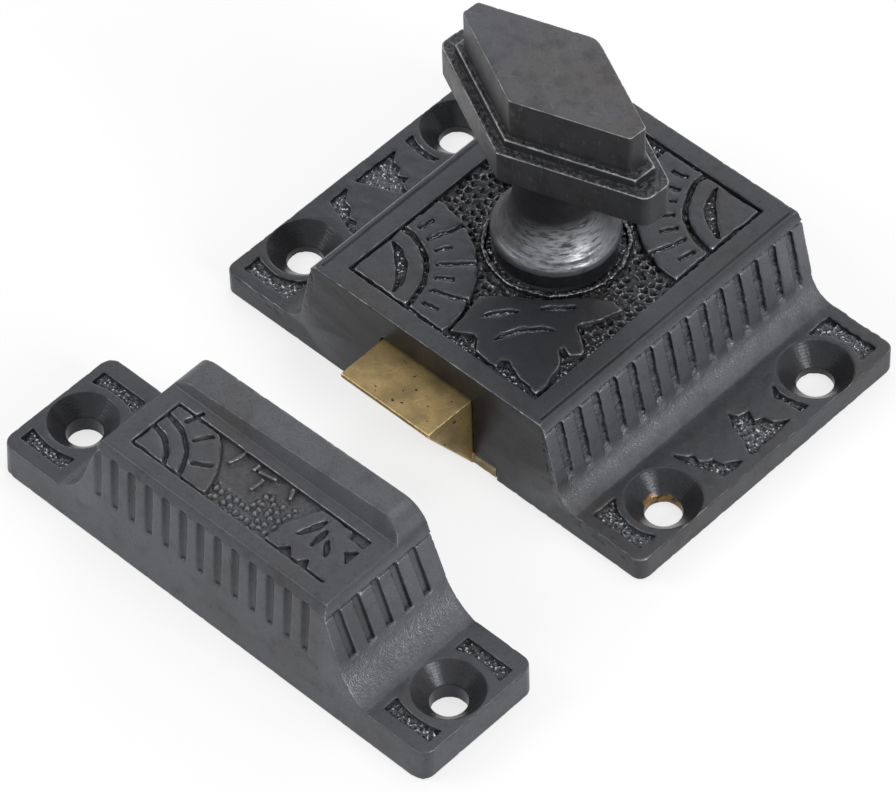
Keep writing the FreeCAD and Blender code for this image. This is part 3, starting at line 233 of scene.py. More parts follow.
class Surface(Graph):
    """A new material's tree, with the piece's own place and masks at hand."""

    def __init__(self, name: str) -> None:
        """Start an empty material.

        Args:
            name: the material's name.
        """
        self.material = bpy.data.materials.new(name)
        self.material.use_nodes = True
        super().__init__(self.material.node_tree)
        self.tree.nodes.clear()
        raw = self.node("ShaderNodeTexCoord", out="Object")
        sockets = {0: raw, "Scale": 1.0 / MM}
        self.place = self.node("ShaderNodeVectorMath", {"operation": "SCALE"}, sockets)
        apart = self.node("ShaderNodeSeparateXYZ", None, {0: self.place}).socket.node
        self.x, self.y, self.z = (Wire(self, apart.outputs[index]) for index in range(3))

    def mask(self, name: str) -> Wire:
        """A float attribute of the piece's points."""
        return self.node("ShaderNodeAttribute", {"attribute_name": name}, out="Fac")

    def stretched(self, scale: Triple, turn: float = 0.0) -> Wire:
        """The place, turned about Z and then scaled on each axis.

        Args:
            scale: waves in a millimetre along each axis.
            turn: degrees about Z.

        Returns:
            Coordinates for a noise.
        """
        sockets = {"Vector": self.place, "Angle": math.radians(turn)}
        turned = self.node("ShaderNodeVectorRotate", {"rotation_type": "Z_AXIS"}, sockets)
        return self.vector("MULTIPLY", turned, scale)

    def bump(self, height: Wire, depth: float, below: Wire | None = None) -> Wire:
        """A bump.

        Args:
            height: wire whose rise from 0 to 1 is the depth.
            depth: depth in millimetres.
            below: bump that this one lies on.

        Returns:
            The normal.
        """
        sockets: dict[str | int, Any] = {"Strength": 1.0, "Distance": depth * MM, "Height": height}
        if below is not None:
            sockets["Normal"] = below
        return self.node("ShaderNodeBump", None, sockets)

    def finish(self, sockets: dict[str | int, Any]) -> bpy.types.Material:
        """End in one shader.

        Args:
            sockets: values or links of the Principled shader.

        Returns:
            The material.
        """
        shader = self.node("ShaderNodeBsdfPrincipled", None, sockets)
        self.node("ShaderNodeOutputMaterial", None, {"Surface": shader})
        return self.material


# Finishes


@dataclass(frozen=True)
class IronFinish:
    """Blackened, oiled cast iron: dark ground faces, paler cast faces, edges brightened by wear and by
    painted highlights, painted glints on grain crests, and painted shade in hollows, creases and
    recesses.
    """

    name: str
    face: Colour = (0.051, 0.053, 0.059)
    pale: Colour = (0.120, 0.124, 0.136)
    brown: Colour = (0.055, 0.051, 0.047)
    # shade_and_mottle: near-black of random mottle and specks, also painted shade in hollows, creases
    # and recesses
    shade_and_mottle: Colour = (0.005, 0.005, 0.006)
    # wear_and_sheen: colour of bare metal, used for scratches and wear and for painted highlights and
    # glints
    wear_and_sheen: Colour = (0.44, 0.45, 0.47)
    rust: Colour = (0.22, 0.125, 0.045)
    crust: Colour = (0.020, 0.014, 0.010)
    rusty_hole: tuple[float, float] = (25.85, -11.85)
    ring_pitch: float = 0.26

    def make(self) -> bpy.types.Material:
        """Make the finish.

        Returns:
            The material.
        """
        skin = Surface(self.name)
        edge, crease_shade, grain = (skin.mask(word) for word in ("edge", "crease_shade", "grain"))
        crest, pit_shade, broad_shade = (skin.mask(word) for word in ("crest", "pit_shade", "broad_shade"))
        pale, dark, cone = (skin.mask(word) for word in ("pale", "dark", "cone"))
        cloud = skin.noise(skin.place, 0.11, 3.0, 1.0)
        smear = skin.noise(skin.place, 0.45, 4.0, 9.0)
        speck = skin.noise(skin.place, 3.2, 3.0, 2.0)
        fine = skin.noise(skin.place, 6.0, 2.0, 3.0)
        rub = skin.noise(skin.place, 0.9, 3.0, 4.0)
        lines = skin.noise(skin.stretched((0.35, 6.0, 3.0), 25.0), 1.0, 2.0, 5.0)
        cross = skin.noise(skin.stretched((5.0, 0.3, 3.0), 70.0), 1.0, 2.0, 6.0)
        scratch = skin.step(lines, 0.66, 0.76) + skin.step(cross, 0.68, 0.78)
        colour = skin.tint(pale * (0.7 + speck * 0.6), self.face, self.pale)
        colour = skin.tint(skin.step(cloud, 0.45, 0.75) * 0.5, colour, self.brown)
        colour = skin.tint(skin.step(smear, 0.48, 0.78) * 0.28, colour, self.shade_and_mottle)
        colour = skin.tint(skin.step(speck, 0.50, 0.75) * 0.3, colour, self.shade_and_mottle)
        colour = skin.tint(scratch * 0.05, colour, self.wear_and_sheen)
        # painted glints: fine sparkle on the pale faces
        colour = skin.tint(skin.step(fine, 0.58, 0.70) * pale * 0.10, colour, self.wear_and_sheen)
        # painted shade: the dark mask darkens recess floors, screw-hole cones, the ground round the
        # knob's foot, the case's front face and the ears' sunk floors; on the leaves it gives a darker
        # tone
        colour = skin.tint(dark, colour, self.shade_and_mottle)
        # painted shade: broad dips such as flutes, coves and recesses are darkened, as if occluded
        colour = skin.tint(skin.step(broad_shade, 0.05, 0.8) * 0.7, colour, self.shade_and_mottle)
        # painted shade in creases
        colour = skin.tint(skin.step(crease_shade, 0.20, 0.85) * 0.45, colour, self.shade_and_mottle)
        # painted shade in the small pits of the grain
        colour = skin.tint(skin.step(pit_shade, 0.10, 0.7) * 0.8, colour, self.shade_and_mottle)
        # grain crests brightened by wear and by painted glints
        crest_wear_and_glint = skin.step(crest * (0.3 + rub * 1.4), 0.30, 0.75) * grain
        colour = skin.tint(crest_wear_and_glint * 0.85, colour, self.wear_and_sheen)
        # edges brightened by wear and by painted highlights
        edge_wear_and_sheen = skin.step(edge * (0.45 + rub), 0.36, 0.9)
        colour = skin.tint(edge_wear_and_sheen * 0.6, colour, self.wear_and_sheen)
        rust = self.rusty(skin, rub)
        colour = skin.tint(rust * skin.step(speck, 0.25, 0.45), colour, self.rust)
        colour = skin.tint(rust * skin.step(rub, 0.50, 0.58), colour, self.crust)
        roughness = 0.33 + (cloud - 0.5) * 0.2 + (smear - 0.5) * 0.25 + (speck - 0.5) * 0.12
        roughness = roughness - edge_wear_and_sheen * 0.10 - grain * 0.12 - cone * 0.08
        normal = skin.bump(fine * 0.5 + speck, 0.014)
        normal = skin.bump(scratch, -0.005, normal)
        normal = skin.bump(fine * (grain + pale * 0.9), 0.06, normal)
        normal = skin.bump(self.tool_marks(skin), 0.0018, normal)
        bare = 0.2 + pale * 0.35 + crest_wear_and_glint * 0.4 + edge_wear_and_sheen * 0.3
        metal = skin.maths("MINIMUM", bare, 0.9)
        return skin.finish({
            "Base Color": colour, "Roughness": roughness, "Metallic": metal,
            "Specular IOR Level": 0.16, "Normal": normal,
        })

    def rusty(self, skin: Surface, wander: Wire) -> Wire:
        """Rust on the far wall of one screw hole.

        Args:
            skin: the material that it is on.
            wander: noise that frays its upper edge.

        Returns:
            Mask from 0 to 1.
        """
        x, y = skin.x - self.rusty_hole[0], skin.y - self.rusty_hole[1]
        away = skin.maths("SQRT", x * x + y * y)
        side = (y - x) / (away * math.sqrt(2) + 0.01)
        height = skin.z + (wander - 0.5) * 1.6
        return skin.step(away, 2.5, 2.3) * skin.step(side, 0.0, 0.5) * skin.step(height, 1.25, 0.95)

    def tool_marks(self, skin: Surface) -> Wire:
        """Rings left by the countersink on the screw holes' cones.

        Args:
            skin: the material that they are on.

        Returns:
            Height between -1 and 1.
        """
        wander = skin.noise(skin.place, 0.8, 2.0, 7.0)
        phase = skin.mask("ring") * (2 * math.pi / self.ring_pitch) + wander * 9.0
        return skin.maths("SINE", phase) * skin.mask("cone")


@dataclass(frozen=True)
class KnobFinish:
    """Ground head whose sides, neck and collar carry painted shade, with edges brightened by wear and
    by painted highlights, and a smooth oiled neck and foot with a painted highlight on the foot's
    front-right side.
    """

    face: Colour = (0.070, 0.071, 0.078)
    brown: Colour = (0.072, 0.065, 0.060)
    # side: painted shade for the head's sides, the neck and the collar
    side: Colour = (0.018, 0.0185, 0.021)
    # shade_and_mottle: near-black of random mottle and specks, also painted shade in creases and pits
    shade_and_mottle: Colour = (0.005, 0.005, 0.006)
    # wear_and_sheen: colour of bare metal, used for scratches and wear and for painted highlights and
    # glints
    wear_and_sheen: Colour = (0.42, 0.43, 0.45)
    foot: Colour = (0.085, 0.087, 0.094)

    def make(self) -> bpy.types.Material:
        """Make the finish.

        Returns:
            The material.
        """
        skin = Surface("knob_iron")
        edge, crease_shade, grain = (skin.mask(word) for word in ("edge", "crease_shade", "grain"))
        crest, pit_shade = (skin.mask(word) for word in ("crest", "pit_shade"))
        # bright: the foot's front-right side, which gets a painted highlight
        bright = skin.mask("bright")
        turned = skin.step(skin.z, 27.4, 26.6)
        foot = skin.step(skin.z, 21.5, 18.0) * skin.step(skin.z, 15.9, 16.3)
        cloud = skin.noise(skin.place, 0.16, 4.0, 1.5)
        smear = skin.noise(skin.place, 0.5, 5.0, 9.5)
        speck = skin.noise(skin.place, 3.4, 3.0, 2.5)
        fine = skin.noise(skin.place, 6.0, 2.0, 3.5)
        rub = skin.noise(skin.place, 0.8, 3.0, 4.5)
        streak = skin.noise(skin.stretched((0.9, 0.9, 5.0)), 1.0, 4.0, 5.5)
        strokes = skin.noise(skin.stretched((1.3, 1.3, 0.5)), 1.0, 3.0, 8.5)
        lines = skin.noise(skin.stretched((0.4, 5.0, 0.7), 35.0), 1.0, 2.0, 6.5)
        cross = skin.noise(skin.stretched((4.0, 0.4, 0.7), 60.0), 1.0, 2.0, 7.5)
        scratch = (skin.step(lines, 0.60, 0.76) + skin.step(cross, 0.62, 0.78)) * (1 - turned)
        colour = skin.tint(skin.step(cloud, 0.42, 0.72) * 0.7, self.face, self.brown)
        # painted shade on the head's sides, the collar and the ledge, from the dark mask
        colour = skin.tint(skin.mask("dark"), colour, self.side)
        # painted shade on the neck below the head
        neck = turned * skin.step(skin.z, 19.5, 22.5)
        colour = skin.tint(neck * 0.6, colour, self.side)
        colour = skin.tint(foot * skin.step(streak, 0.35, 0.6) * 0.8, colour, self.foot)
        colour = skin.tint(skin.step(smear, 0.46, 0.72) * 0.4, colour, self.shade_and_mottle)
        colour = skin.tint(skin.step(speck, 0.5, 0.78) * 0.3, colour, self.shade_and_mottle)
        colour = skin.tint(scratch * 0.07, colour, self.wear_and_sheen)
        # painted shade in creases
        colour = skin.tint(skin.step(crease_shade, 0.15, 0.8) * 0.7, colour, self.shade_and_mottle)
        # painted shade in the small pits of the grain
        colour = skin.tint(skin.step(pit_shade, 0.10, 0.7) * 0.8, colour, self.shade_and_mottle)
        # painted glints on the crests of the ledge's grain
        colour = skin.tint(skin.step(crest, 0.15, 0.8) * grain * 0.35, colour, self.wear_and_sheen)
        # edges brightened by wear and by painted highlights
        edge_wear_and_sheen = skin.step(edge * (0.4 + rub), 0.26, 0.7)
        colour = skin.tint(edge_wear_and_sheen * 0.8, colour, self.wear_and_sheen)
        # painted highlight on the foot's front-right side, in streaks
        painted_foot_highlight = bright * skin.step(streak + (smear - 0.5) * 0.4, 0.28, 0.58)
        colour = skin.tint(painted_foot_highlight * 0.55, colour, self.wear_and_sheen)
        roughness = 0.38 + (smear - 0.5) * 0.26 + (speck - 0.5) * 0.12
        roughness = roughness - edge_wear_and_sheen * 0.12 - turned * 0.03
        normal = skin.bump(fine * 0.5 + speck, 0.012)
        normal = skin.bump(scratch, -0.005, normal)
        normal = skin.bump((streak * 0.5 + strokes) * turned, 0.05, normal)
        metal = 0.25 + foot * 0.2 + painted_foot_highlight * 0.35
        return skin.finish({
            "Base Color": colour, "Roughness": roughness, "Metallic": metal,
            "Specular IOR Level": 0.22, "Normal": normal,
        })


@dataclass(frozen=True)
class BrassFinish:
    """Dull olive brass with dark pores, scratches, painted shade in creases, and edges brightened by
    wear and by painted highlights.
    """

    face: Colour = (0.29, 0.208, 0.086)
    dark: Colour = (0.160, 0.115, 0.050)
    # pit_shade: near-black of the pores, also painted shade in creases
    pit_shade: Colour = (0.02, 0.015, 0.010)
    # wear_and_sheen: bare brass, used for scratches and wear and for painted highlights on the edges
    wear_and_sheen: Colour = (0.66, 0.50, 0.26)

    def make(self) -> bpy.types.Material:
        """Make the finish.

        Returns:
            The material.
        """
        skin = Surface("dull_brass")
        edge, crease_shade = (skin.mask(word) for word in ("edge", "crease_shade"))
        cloud = skin.noise(skin.place, 0.35, 5.0, 1.2)
        speck = skin.noise(skin.place, 4.0, 3.0, 2.2)
        pores = skin.noise(skin.place, 1.3, 3.0, 3.2)
        lines = skin.noise(skin.stretched((3.2, 0.5, 1.2), 33.0), 1.0, 5.0, 4.2)
        cross = skin.noise(skin.stretched((0.9, 3.0, 2.5), -10.0), 1.0, 5.0, 5.2)
        scratch = skin.step(lines, 0.60, 0.70) + skin.step(cross, 0.62, 0.72)
        stain = skin.step(lines, 0.42, 0.34) + skin.step(cross, 0.42, 0.32)
        colour = skin.tint(skin.step(cloud, 0.35, 0.72), self.face, self.dark)
        colour = skin.tint(skin.step(speck, 0.45, 0.75) * 0.5, colour, self.dark)
        colour = skin.tint(stain * 0.18, colour, self.dark)
        colour = skin.tint(scratch * 0.12, colour, self.wear_and_sheen)
        hole = skin.step(pores, 0.655, 0.70)
        colour = skin.tint(hole, colour, self.pit_shade)
        # painted shade in creases
        colour = skin.tint(skin.step(crease_shade, 0.15, 0.8), colour, self.pit_shade)
        # edges brightened by wear and by painted highlights
        edge_wear_and_sheen = skin.step(edge * (0.5 + pores), 0.25, 0.85)
        colour = skin.tint(edge_wear_and_sheen * 0.85, colour, self.wear_and_sheen)
        normal = skin.bump(speck, 0.014)
        normal = skin.bump(scratch - stain, 0.005, normal)
        normal = skin.bump(hole, -0.10, normal)
        return skin.finish({
            "Base Color": colour, "Roughness": 0.42 + (cloud - 0.5) * 0.25 - edge_wear_and_sheen * 0.1,
            "Metallic": 0.6, "Normal": normal,
        })


@dataclass(frozen=True)
class SteelFinish:
    """Plain steel of the hidden works, slightly tarnished."""

    name: str
    face: Colour = (0.30, 0.30, 0.31)
    stain: Colour = (0.15, 0.13, 0.11)
    grain: Triple = (0.3, 6.0, 6.0)

    def make(self) -> bpy.types.Material:
        """Make the finish.

        Returns:
            The material.
        """
        skin = Surface(self.name)
        cloud = skin.noise(skin.place, 0.25, 4.0, 1.7)
        brush = skin.noise(skin.stretched(self.grain), 1.0, 3.0, 2.7)
        colour = skin.tint(skin.step(cloud, 0.45, 0.75) * 0.8, self.face, self.stain)
        return skin.finish({
            "Base Color": colour, "Roughness": 0.34 + (brush - 0.5) * 0.2 + (cloud - 0.5) * 0.2,
            "Metallic": 0.9, "Normal": skin.bump(brush, 0.01),
        })


# Castings


@dataclass(frozen=True)
class Weather:
    """Sizes of a casting's worn skin, in millimetres."""

    pit_spacing: float = 1.10
    pit_radius: float = 0.44
    pit_depth: float = 0.36
    grain_size: float = 0.46
    grain_depth: float = 0.30
    nick_size: float = 0.9
    nick_depth: float = 0.12
    wobble_size: float = 1.3
    wobble_depth: float = 0.55
    seed: float = 3.0

    def tree(self) -> bpy.types.NodeTree:
        """The geometry tree that moves a casting's points.

        Returns:
            A tree with one named input for each size.
        """
        tree = bpy.data.node_groups.new("casting_skin", "GeometryNodeTree")
        face = tree.interface
        face.new_socket("Geometry", in_out="INPUT", socket_type="NodeSocketGeometry")
        for name in self.__dataclass_fields__:
            face.new_socket(name, in_out="INPUT", socket_type="NodeSocketFloat")
        face.new_socket("finish", in_out="INPUT", socket_type="NodeSocketMaterial")
        face.new_socket("Geometry", in_out="OUTPUT", socket_type="NodeSocketGeometry")
        graph = Graph(tree)
        inputs = tree.nodes.new("NodeGroupInput").outputs
        size = {name: Wire(graph, inputs[name]) for name in self.__dataclass_fields__}
        masks = {
            name: graph.node("GeometryNodeInputNamedAttribute", {"data_type": "FLOAT"}, {"Name": name})
            for name in ("edge", "grain", "pits", "berries", "wobble")
        }
        place = graph.node("GeometryNodeInputPosition")
        normal = graph.node("GeometryNodeInputNormal")

        def noise(length: Wire, seed: Wire, detail: float, out: str) -> Wire:
            """Noise of a wave length.

            Args:
                length: wave length in millimetres.
                seed: slice of the noise.
                detail: octaves.
                out: the output that is returned, Fac or Color.

            Returns:
                The noise.
            """
            sockets = {"Vector": place, "W": seed, "Scale": 1 / length, "Detail": detail}
            return graph.node("ShaderNodeTexNoise", {"noise_dimensions": "4D"}, sockets, out)

        cells = graph.node(
            "ShaderNodeTexVoronoi",
            {"voronoi_dimensions": "2D"},
            {"Vector": place, "Scale": 1 / size["pit_spacing"], "Randomness": 0.6},
        )
        away = cells * size["pit_spacing"] / size["pit_radius"]
        dome = graph.maths("MAXIMUM", 1 - away * away, 0.0)
        grit = noise(size["grain_size"], size["seed"], 2.0, "Fac")
        dents = noise(size["nick_size"], size["seed"] + 7.0, 2.0, "Fac")
        drift = noise(size["wobble_size"], size["seed"] + 13.0, 1.0, "Color")
        rise = (grit - 0.55) * 2.6 * size["grain_depth"] * masks["grain"]
        rise = rise + dome * size["pit_depth"] * (masks["berries"] - masks["pits"])
        rise = rise - graph.step(dents, 0.50, 0.72) * size["nick_depth"] * masks["edge"]
        shift = graph.node("ShaderNodeVectorMath", {"operation": "SCALE"}, {0: normal, "Scale": rise})
        centred = graph.vector("SUBTRACT", drift, (HALF, HALF, HALF))
        level = graph.vector("MULTIPLY", centred, (1.0, 1.0, 0.3))
        sway = size["wobble_depth"] * masks["wobble"]
        wander = graph.node("ShaderNodeVectorMath", {"operation": "SCALE"}, {0: level, "Scale": sway})
        moved = graph.node(
            "GeometryNodeSetPosition", None,
            {"Geometry": inputs["Geometry"], "Offset": graph.vector("ADD", shift, wander)},
        )
        whole = graph.node("GeometryNodeRealizeInstances", None, {"Geometry": moved})
        sockets = {"Geometry": whole, "Material": inputs["finish"]}
        dressed = graph.node("GeometryNodeSetMaterial", None, sockets)
        graph.node("NodeGroupOutput", None, {"Geometry": dressed})
        return tree


def set_inputs(modifier: bpy.types.Modifier, values: dict[str, Any]) -> None:
    """Set a geometry modifier's inputs by their sockets' identifiers.

    Args:
        modifier: the modifier, with its tree.
        values: value of each named input.
    """
    for item in modifier.node_group.interface.items_tree:
        if item.item_type == "SOCKET" and item.in_out == "INPUT" and item.name in values:
            modifier[item.identifier] = values[item.name]


def new_object(name: str, mesh: bpy.types.Mesh) -> bpy.types.Object:
    """A linked object at the origin.

    Args:
        name: the object's name.
        mesh: its mesh.

    Returns:
        The object.
    """
    made = bpy.data.objects.new(name, mesh)
    bpy.context.scene.collection.objects.link(made)
    return made


def apply_modifiers(piece: bpy.types.Object) -> None:
    """Turn a piece and its modifiers into a plain mesh.

    Args:
        piece: the piece, which ends with no modifiers.
    """
    graph = bpy.context.evaluated_depsgraph_get()
    mesh = bpy.data.meshes.new_from_object(piece.evaluated_get(graph))
    piece.modifiers.clear()
    piece.data = mesh


def points_of(mesh: bpy.types.Mesh) -> np.ndarray:
    """Places of a mesh's points.

    Args:
        mesh: the mesh.

    Returns:
        One row for each point.
    """
    flat = np.empty(len(mesh.vertices) * 3, np.float32)
    mesh.vertices.foreach_get("co", flat)
    return flat.reshape(-1, 3).astype(float)


def normals_of(mesh: bpy.types.Mesh) -> np.ndarray:
    """Normals of a mesh's points.

    Args:
        mesh: the mesh.

    Returns:
        One row for each point.
    """
    flat = np.empty(len(mesh.vertices) * 3, np.float32)
    mesh.vertex_normals.foreach_get("vector", flat)
    return flat.reshape(-1, 3).astype(float)


def move_points(mesh: bpy.types.Mesh, place: np.ndarray) -> None:
    """Put a mesh's points at new places."""
    mesh.vertices.foreach_set("co", place.astype(np.float32).ravel())
    mesh.update()


def melted_points(piece: bpy.types.Object, turns: int) -> np.ndarray:
    """Where a piece's points would go if it were smoothed.

    Args:
        piece: the piece, with no modifiers.
        turns: how often it is smoothed.

    Returns:
        One row for each point.
    """
    melt = piece.modifiers.new("melt", "SMOOTH")
    melt.factor = HALF
    melt.iterations = turns
    graph = bpy.context.evaluated_depsgraph_get()
    place = points_of(piece.evaluated_get(graph).data)
    piece.modifiers.clear()
    return place


def store(mesh: bpy.types.Mesh, masks: Masks) -> None:
    """Keep masks as attributes of a mesh's points.

    Args:
        mesh: the mesh.
        masks: one value for each point, by name.
    """
    for name, values in masks.items():
        layer = mesh.attributes.new(name, "FLOAT", "POINT")
        layer.data.foreach_set("value", values.astype(np.float32))


def inside(values: np.ndarray, low: float, high: float, soft: float = 0.1) -> np.ndarray:
    """Soft mask of the values between two bounds.

    Args:
        values: what is measured.
        low: lower bound.
        high: upper bound.
        soft: width of the ramp at each bound.

    Returns:
        Mask from 0 to 1.
    """
    rise = np.clip((values - low) / soft + HALF, 0, 1)
    fall = np.clip((high - values) / soft + HALF, 0, 1)
    return rise * fall


def facing(share: np.ndarray) -> np.ndarray:
    """Mask of the points whose normals lean one way, from the normals' share that way."""
    return np.clip((share - 0.6) / 0.3, 0, 1)


def along(shift: np.ndarray, normal: np.ndarray) -> np.ndarray:
    """Length of each shift along its point's normal."""
    return (shift * normal).sum(axis=1)


@dataclass
class Casting:
    """A cast or machined piece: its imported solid, softened, weathered and dressed."""

    node: str
    body: Body
    slot: Slot
    voxel: float = 0.12
    soften: int = 4
    keep: float = 0.14
    weather: Weather = field(default_factory=Weather)
    edge_turns: int = 16
    edge_bend: float = 0.09
    # smoothing and depth that find the broad dips which the finishes darken as painted shade
    broad_shade_turns: int = 60
    broad_shade_depth: float = 0.18
    grit_turns: int = 6
    grit_depth: float = 0.05
    merge: float = 1e-6

    def masks(self, place: np.ndarray, normal: np.ndarray) -> Masks:
        """Where the skin is rough, pitted or turned; a plain casting has none, so this gives no masks.

        Args:
            place: points in millimetres; not used here.
            normal: their normals; not used here.

        Returns:
            One array for each named mask.
        """
        return {}

    def solid(self, source: bpy.types.Object) -> bpy.types.Object:
        """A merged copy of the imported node, in millimetres.

        Args:
            source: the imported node.

        Returns:
            A working object.
        """
        mesh = source.data.copy()
        work = bmesh.new()
        work.from_mesh(mesh)
        bmesh.ops.remove_doubles(work, verts=work.verts, dist=self.merge)
        bmesh.ops.scale(work, vec=(1 / MM,) * 3, verts=work.verts)
        work.to_mesh(mesh)
        work.free()
        return new_object(f"{self.node}_solid", mesh)

    def blank(self, solid: bpy.types.Object) -> bpy.types.Object:
        """The solid as an even skin of small faces, snapped to it, with softened edges.

        Args:
            solid: the merged solid.

        Returns:
            A working object with its curvature masks.
        """
        work = new_object(f"{self.node}_skin", solid.data.copy())
        even = work.modifiers.new("even", "REMESH")
        even.mode = "VOXEL"
        even.voxel_size = self.voxel
        apply_modifiers(work)
        snap = work.modifiers.new("snap", "SHRINKWRAP")
        snap.target = solid
        snap.wrap_method = "NEAREST_SURFACEPOINT"
        soft = work.modifiers.new("soften", "SMOOTH")
        soft.factor = HALF
        soft.iterations = self.soften
        apply_modifiers(work)
        place, normal = points_of(work.data), normals_of(work.data)
        melted = melted_points(work, self.edge_turns)
        bend = along(melted - place, normal)
        masks = self.masks(place, normal)
        place = place + (melted - place) * masks.pop("soft", np.zeros(len(place)))[:, None]
        place = place - normal * masks.pop("carve", np.zeros(len(place)))[:, None]
        move_points(work.data, place)
        sink = along(melted_points(work, self.broad_shade_turns) - place, normal)
        masks["edge"] = np.clip(-bend / self.edge_bend, 0, 1)
        # crease_shade marks creases, which the finishes darken as painted shade
        masks["crease_shade"] = np.clip(bend / self.edge_bend, 0, 1)
        # broad_shade marks broad dips, which the finishes darken as painted shade
        masks["broad_shade"] = np.clip(sink / self.broad_shade_depth, 0, 1)
        store(work.data, masks)
        return work

    def build(self, source: bpy.types.Object, finish: bpy.types.Material) -> bpy.types.Object:
        """Make the piece and put it in the node's place.

        Args:
            source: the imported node.
            finish: the piece's material.

        Returns:
            The finished piece.
        """
        solid = self.solid(source)
        work = self.blank(solid)
        skin = work.modifiers.new("skin", "NODES")
        skin.node_group = self.weather.tree()
        values = {name: getattr(self.weather, name) for name in self.weather.__dataclass_fields__}
        set_inputs(skin, {**values, "finish": finish})
        apply_modifiers(work)
        # crest and pit_shade: peaks and small pits of the weathered skin; the finishes give the peaks
        # painted glints and the pits painted shade
        melted = melted_points(work, self.grit_turns)
        relief = along(melted - points_of(work.data), normals_of(work.data)) / self.grit_depth
        store(work.data, {"crest": np.clip(-relief, 0, 1), "pit_shade": np.clip(relief, 0, 1)})
        thin = work.modifiers.new("thin", "DECIMATE")
        thin.ratio = self.keep
        apply_modifiers(work)
        low, high = (np.array(corner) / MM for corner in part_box(self.node))
        move_points(work.data, np.clip(points_of(work.data), low, high))
        work.data.shade_smooth()
        work.modifiers.new("even_shade", "WEIGHTED_NORMAL")
        apply_modifiers(work)
        work.data.transform(Matrix.Scale(MM, 4))
        bpy.data.objects.remove(solid)
        work.name = f"{self.node}_cast"
        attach(work, self.body.value)
        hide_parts(self.node)
        LOG.info("%s: %d faces", work.name, len(work.data.polygons))
        return work


